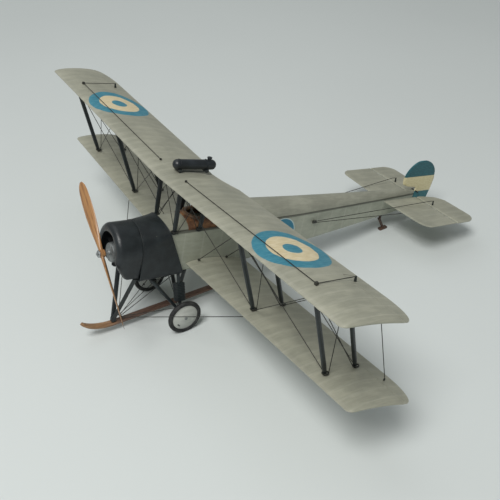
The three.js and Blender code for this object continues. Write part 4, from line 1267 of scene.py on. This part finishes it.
def axle_rod():
    shape = Shape().rod((-0.845, WHEEL["y"], WHEEL["z"]), (0.845, WHEEL["y"], WHEEL["z"]), 0.025, 20)
    for side in (-1, 1):
        hub = Vector((side * 0.842, WHEEL["y"], WHEEL["z"]))
        shape.lathe([(0.034, -0.006), (0.034, 0.004), (0.024, 0.010), (0.006, 0.012)], hub, X * side, 20)
    return shape


def tyre():
    middle = (WHEEL["rim"] + WHEEL["radius"]) / 2
    half = (WHEEL["radius"] - WHEEL["rim"]) / 2
    rings = []
    for k in range(24):
        turn = 2 * math.pi * k / 24
        radius = middle + half * math.cos(turn)
        run = WHEEL["width"] / 2 * math.copysign(abs(math.sin(turn)) ** 0.9, math.sin(turn))
        rings.append(oval(WHEEL_CENTRE + X * run, Y, Z, radius, radius, 72))
    return Shape().loft(rings, endless=True)


def wheel_disc():
    """The doped cover over both faces of the wheel, with a bore for the axle."""
    rows = [(0.029, 0.058), (0.05, 0.058), (0.062, 0.054), (0.262, 0.028), (0.272, 0.020)]
    outer = rows + [(radius, -run) for radius, run in reversed(rows)]
    rings = [oval(WHEEL_CENTRE + X * run, Y, Z, radius, radius, 72) for radius, run in outer]
    return Shape().loft(rings, endless=True)


def valve():
    out = Vector((0, -0.66, -0.75)).normalized()
    across = X.cross(out)
    shape = Shape()
    for side in (-1, 1):
        spot = WHEEL_CENTRE + out * 0.20 + X * side * 0.0385
        shape.block(spot, (0.004, 0.012, 0.034), 0.003, (X, out, across))
    return shape


def make_undercarriage():
    piece("skid_plank", landing_skid(), SKID_WOOD, nodes=("landing_skid",), slot="skid_wood")
    front, rear = skid_struts()
    piece("skid_front_struts", front, STRUT_BLACK, nodes=("front_skid_struts",), slot="strut_black")
    piece("skid_rear_struts", rear, STRUT_BLACK, nodes=("rear_skid_struts",), slot="strut_black")
    pair("spring_leg", spring_leg(), STRUT_BLACK, node="undercarriage_leg", slot="strut_black")
    piece("wheel_axle", axle_rod(), ENGINE_METAL, nodes=("axle",), slot="engine_metal")
    pair("wheel_tyre", tyre(), RUBBER, "wheel", "tyre", slot="tyre_rubber")
    pair("wheel_cover", wheel_disc(), DISC, "wheel", "wheel_disc", slot="doped_fabric")
    pair("wheel_valve", valve(), STRUT_BLACK, "wheel", slot="strut_black")


# ---- tail --------------------------------------------------------------------------------------
TAIL_RIB = 0.22


def flat_surface(places, front, back, lift, ribs):
    """A thin flying surface: rows run across it, each from its front edge to its back edge."""
    rings, plans = [], []
    first, last = places[0], places[-1]
    for a in places:
        low, high = front(a), back(a)
        end = min(a - first, last - a)
        close = math.sqrt(max(1 - (1 - min(end / 0.022, 1)) ** 2, 0.05))
        phase = (a / TAIL_RIB) % 1
        ring, plan = [], []
        for side in (1, -1):
            marks = steps(0, 1, 22)
            for t in marks if side > 0 else reversed(marks):
                b = lerp(low, high, t)
                edge = min(b - low, high - b)
                ease = math.sqrt(max(1 - (1 - min(edge / 0.022, 1)) ** 2, 0.02))
                sag = 0.0055 * math.sin(math.pi * phase) * ribs * min(edge / 0.10, 1) * min(end / 0.05, 1)
                h = SURFACE * ease * close - sag + 0.0015 * ribs * (min(phase, 1 - phase) < 0.05)
                point = lift(a, b, side * h)
                ring.append(point)
                plan.append((a, b, side) if ribs else tuple(point))
        rings.append(ring)
        plans.append(plan)
    return Shape().loft(rings, plan=plans)


def level(x, y, h):
    return Vector((x, y, TAIL_Z + h))


def across_tail(start, end):
    fine = [start + i * 0.022 for i in range(int((end - start) / 0.022) + 1)]
    ends = [start + run for run in (0.004, 0.010)] + [end - run for run in (0.002, 0.006, 0.012)]
    return sorted(set(fine + ends + [end]))


def tailplane_front(x):
    if x <= 1.22:
        return lerp(6.47, 6.52, (x - 0.17) / 1.05)
    return 6.77 - 0.25 * math.sqrt(max(1 - ((x - 1.22) / 0.312) ** 2, 0))


ELEVATOR_BACK = [(0.17, 7.62), (0.24, 7.86), (0.33, 8.10), (0.52, 8.24), (1.26, 8.26)]


def elevator_back(x):
    if x < 1.26:
        return track(x, ELEVATOR_BACK)[0]
    return 7.92 + 0.34 * math.sqrt(max(1 - ((x - 1.26) / 0.285) ** 2, 0))


def rudder_front(z):
    if z < 0.83:
        return track(z, [(0.06, 7.62), (0.62, 7.62), (0.66, 7.30), (0.72, 7.15), (0.83, 7.13)])[0]
    return 7.66 - 0.53 * math.sqrt(max(1 - ((z - 0.83) / 0.477) ** 2, 0))


def rudder_back(z):
    if z < 0.992:
        return track(z, [(0.06, 7.98), (0.24, 8.10), (0.55, 8.17), (0.80, 8.20), (0.992, 8.158)])[0]
    return 7.66 + 0.53 * math.sqrt(max(1 - ((z - 0.83) / 0.477) ** 2, 0))


def two_way_horn():
    y = TAIL_HINGE + 0.05
    reach = TAIL_HORN["reach"]
    corners = ((0.040, 0), (0.010, reach), (-0.010, reach), (-0.010, -reach), (0.010, -reach))
    outline = [(y + back, TAIL_Z + up) for back, up in corners]
    return plate(Shape(), outline, TAIL_HORN["x"], 0.009)


def horn_cables():
    """The last stretch of the elevator cables, from the held cable to the moving horn."""
    shape = Shape()
    for start, end in ((0.140, 0.132), (-0.11, -0.132)):
        head = (TAIL_HORN["x"], TAIL_HINGE - 0.072, TAIL_Z + start)
        shape.rod(head, (TAIL_HORN["x"], TAIL_HINGE + 0.045, TAIL_Z + end), 0.0072, 8)
    return shape


def make_tail():
    places = across_tail(0.17, 1.53)
    fixed = flat_surface(places, tailplane_front, lambda x: TAIL_HINGE - 0.012, level, 1)
    moving = flat_surface(across_tail(0.17, 1.54), lambda x: TAIL_HINGE + 0.012, elevator_back, level, 1)
    pair("tailplane_skin", fixed, PLAIN_WING, node="tailplane", slot="doped_fabric")
    pair("elevator_skin", moving, PLAIN_WING, "elevator", "elevator", slot="doped_fabric")
    pair("elevator_horn", two_way_horn(), STRUT_BLACK, "elevator", slot="strut_black")
    heights = sorted(set(steps(0.06, 1.26, 54) + steps(1.26, 1.305, 8)))
    fin = flat_surface(heights, rudder_front, rudder_back, lambda z, y, h: Vector((h, y, z)), 0)
    piece("rudder_skin", fin, RUDDER, "rudder", nodes=("rudder",), slot="rudder_paint")
    horn = Shape().block((0, STERN_Y + 0.045, 0.515), (0.11, 0.014, 0.012), 0.005)
    piece("rudder_horn", horn, STRUT_BLACK, "rudder", slot="strut_black")
    for side, shape in (("left", horn_cables()), ("right", horn_cables().mirrored())):
        cable = loose_piece(f"elevator_cable_end_{side}", shape, CORD)
        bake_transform(cable)


def loose_piece(name, shape, material):
    """A piece that spans two bodies, so it has no parent of its own."""
    made = piece(name, shape, material, slot="rigging_wire")
    made.parent = None
    made.matrix_world = Matrix.Identity(4)
    del made["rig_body"]
    return made


# ---- controls and tank -------------------------------------------------------------------------
CABLE_STOP = {"ahead": 0.05, "height": 0.075}
HORN_HEAD = {"behind": 0.03, "height": 0.092}


def make_controls():
    for side, sign in (("left", 1), ("right", -1)):
        stop = over_wing(UPPER, sign * HORN_X, HINGE - CABLE_STOP["ahead"], CABLE_STOP["height"])
        horn = over_wing(UPPER, sign * HORN_X, HINGE + HORN_HEAD["behind"], HORN_HEAD["height"])
        shape = Shape().rod(stop - (horn - stop) * 0.1, horn, 0.0072, 8)
        cable = loose_piece(f"aileron_cable_end_{side}", shape, CORD)
        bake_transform(cable)
    upper = Shape().block(under_wing(UPPER, LINK_X, HINGE + 0.10, 0.017), (0.010, 0.014, 0.026), 0.004)
    lower = Shape().block(over_wing(LOWER, LINK_X, HINGE + 0.10, 0.016), (0.010, 0.014, 0.025), 0.004)
    pair("aileron_link_eye_upper", upper, STRUT_BLACK, "upper_aileron", slot="strut_black")
    pair("aileron_link_eye_lower", lower, STRUT_BLACK, "lower_aileron", slot="strut_black")


def tank_axis(y):
    return Vector((0, y, UPPER["z"] + TANK["lift"] - (y - UPPER["y"]) * math.tan(INCIDENCE)))


def make_tank():
    front, rear = tank_axis(TANK["front"]), tank_axis(TANK["rear"])
    along = (rear - front).normalized()
    length = TANK["rear"] - TANK["front"]
    radius = TANK["radius"]
    turns = [math.radians(turn) for turn in (4, 20, 35, 50, 65, 80, 90)]
    round_end = [(radius * math.sin(turn), 0.085 * (1 - math.cos(turn))) for turn in turns]
    profile = round_end + [(r, length - run) for r, run in reversed(round_end)]
    shape = Shape().lathe(profile, front, along, 48)
    for y in TANK["saddles"]:
        hoop = oval(tank_axis(y), X, X.cross(along), radius + 0.002, radius + 0.002, 48)
        shape.tube(hoop, 0.007, 8, endless=True)
    neck = tank_axis(1.57)
    cap = [(0.040, -0.02), (0.040, 0.03), (0.048, 0.034), (0.048, 0.052), (0.03, 0.06), (0.008, 0.062)]
    shape.lathe([(wide, radius + run) for wide, run in cap], neck, Z, 24)
    shape.dome(front - along * -0.004, -along, 0.022, 0.012, 16)
    piece("tank_shell", shape, TANK_BLACK, nodes=("gravity_tank",), slot="strut_black")


CORD = satin_black("cord_paint", tint(60, 60, 56), tint(34, 36, 34), tint(84, 84, 78), 0.5, 0.3)


def dress_cad_nodes():
    """Gives a procedural material to every CAD node that is still shown."""
    for name, node in frame["nodes"].items():
        if name == "tail_skid":
            paint = BARE_BROWN
        elif name in ("tail_skid_bracket", "tank_cradle"):
            paint = BARE_BLACK
        else:
            paint = WIRE
        for slot in node.material_slots:
            slot.material = paint


def bare_paint(name, light, dark):
    """Satin paint for carried-over CAD nodes, read in the object's own place."""
    paint = Paint(name)
    spot = paint.object_place()
    cloud = paint.noise(spot, 8.0, 5.0, 0.6)
    paint.colour(paint.tones(cloud, dark, light, high=0.7))
    paint.rough(paint.span(cloud, 0.3, 0.7, 0.4, 0.58))
    paint.bump(cloud, 0.006, 0.4)
    return paint.material


BARE_BLACK = bare_paint("bare_black", tint(56, 62, 62), tint(26, 31, 33))
BARE_BROWN = bare_paint("bare_brown", tint(96, 70, 56), tint(58, 45, 38))


# ---- stage -------------------------------------------------------------------------------------
FLOOR_REACH = 6.0


def make_floor():
    mesh = bpy.data.meshes.new("floor")
    corners = [(x * FLOOR_REACH, y * FLOOR_REACH, 0) for x, y in ((-1, -1), (1, -1), (1, 1), (-1, 1))]
    mesh.from_pydata(corners, [], [(0, 1, 2, 3)])
    paint = Paint("floor_card", Specular_IOR_Level=0.25)
    spot = paint.node("ShaderNodeTexCoord").outputs["Object"]
    cloud = paint.noise(spot, 3.0, 4.0, 0.5)
    paint.colour(paint.mix(paint.span(cloud, 0.3, 0.7), tint(203, 209, 208), tint(208, 214, 213)))
    paint.rough(paint.span(cloud, 0.3, 0.7, 0.75, 0.85))
    mesh.materials.append(paint.material)
    floor = bpy.data.objects.new("floor", mesh)
    bpy.context.scene.collection.objects.link(floor)


def area_light(name, spot, size, power, colour):
    """A soft square light that faces the middle of the model."""
    lamp = bpy.data.lights.new(name, "AREA")
    lamp.size = size
    lamp.energy = power
    lamp.color = colour
    thing = bpy.data.objects.new(name, lamp)
    thing.location = spot
    thing.rotation_euler = (-Vector(spot)).to_track_quat("-Z", "Y").to_euler()
    bpy.context.scene.collection.objects.link(thing)


# Each soft lamp: its name, place, size in metres, power in watts and colour.
LAMPS = [
    ("key", (0.225, -0.35, 0.63), 0.28, 4.05, (1.0, 0.985, 0.965)),
    ("top", (-0.45, -0.10, 0.80), 0.8, 1.2, (0.97, 1.0, 1.0)),
]
ROOM_LIGHT = {"colour": (0.93, 0.955, 0.95, 1), "strength": 0.30}


def make_light():
    for lamp in LAMPS:
        area_light(*lamp)
    world = bpy.data.worlds.new("studio")
    world.use_nodes = True
    background = world.node_tree.nodes["Background"]
    background.inputs["Color"].default_value = ROOM_LIGHT["colour"]
    background.inputs["Strength"].default_value = ROOM_LIGHT["strength"]
    bpy.context.scene.world = world


CAMERA = {"place": (0.1487, -0.107, 0.1333), "azimuth": 55.28, "elevation": 34.76, "roll": 1.765}
FOCAL = 52.17
SENSOR = 36.0
CAMERA_SHIFT = (-0.0365, 0.0023)


def make_camera():
    azimuth, elevation, roll = (math.radians(CAMERA[key]) for key in ("azimuth", "elevation", "roll"))
    right = Vector((math.cos(azimuth), math.sin(azimuth), 0))
    back = right.cross(Z) * math.cos(elevation) + Z * math.sin(elevation)
    up = back.cross(right)
    side = right * math.cos(roll) + up * math.sin(roll)
    over = back.cross(side)
    lens = bpy.data.cameras.new("camera")
    lens.lens = FOCAL
    lens.sensor_width = SENSOR
    lens.shift_x, lens.shift_y = CAMERA_SHIFT
    lens.clip_start = 0.01
    lens.clip_end = 50.0
    camera = bpy.data.objects.new("camera", lens)
    facing = Matrix((side, over, back)).transposed().to_4x4()
    camera.matrix_world = Matrix.Translation(CAMERA["place"]) @ facing
    bpy.context.scene.collection.objects.link(camera)
    bpy.context.scene.camera = camera
    bpy.context.scene.view_settings.view_transform = "Standard"


make_camera()
make_floor()
make_light()
dress_cad_nodes()
make_wings()
make_struts()
make_fuselage()
make_nose()
make_undercarriage()
make_tail()
make_controls()
make_tank()
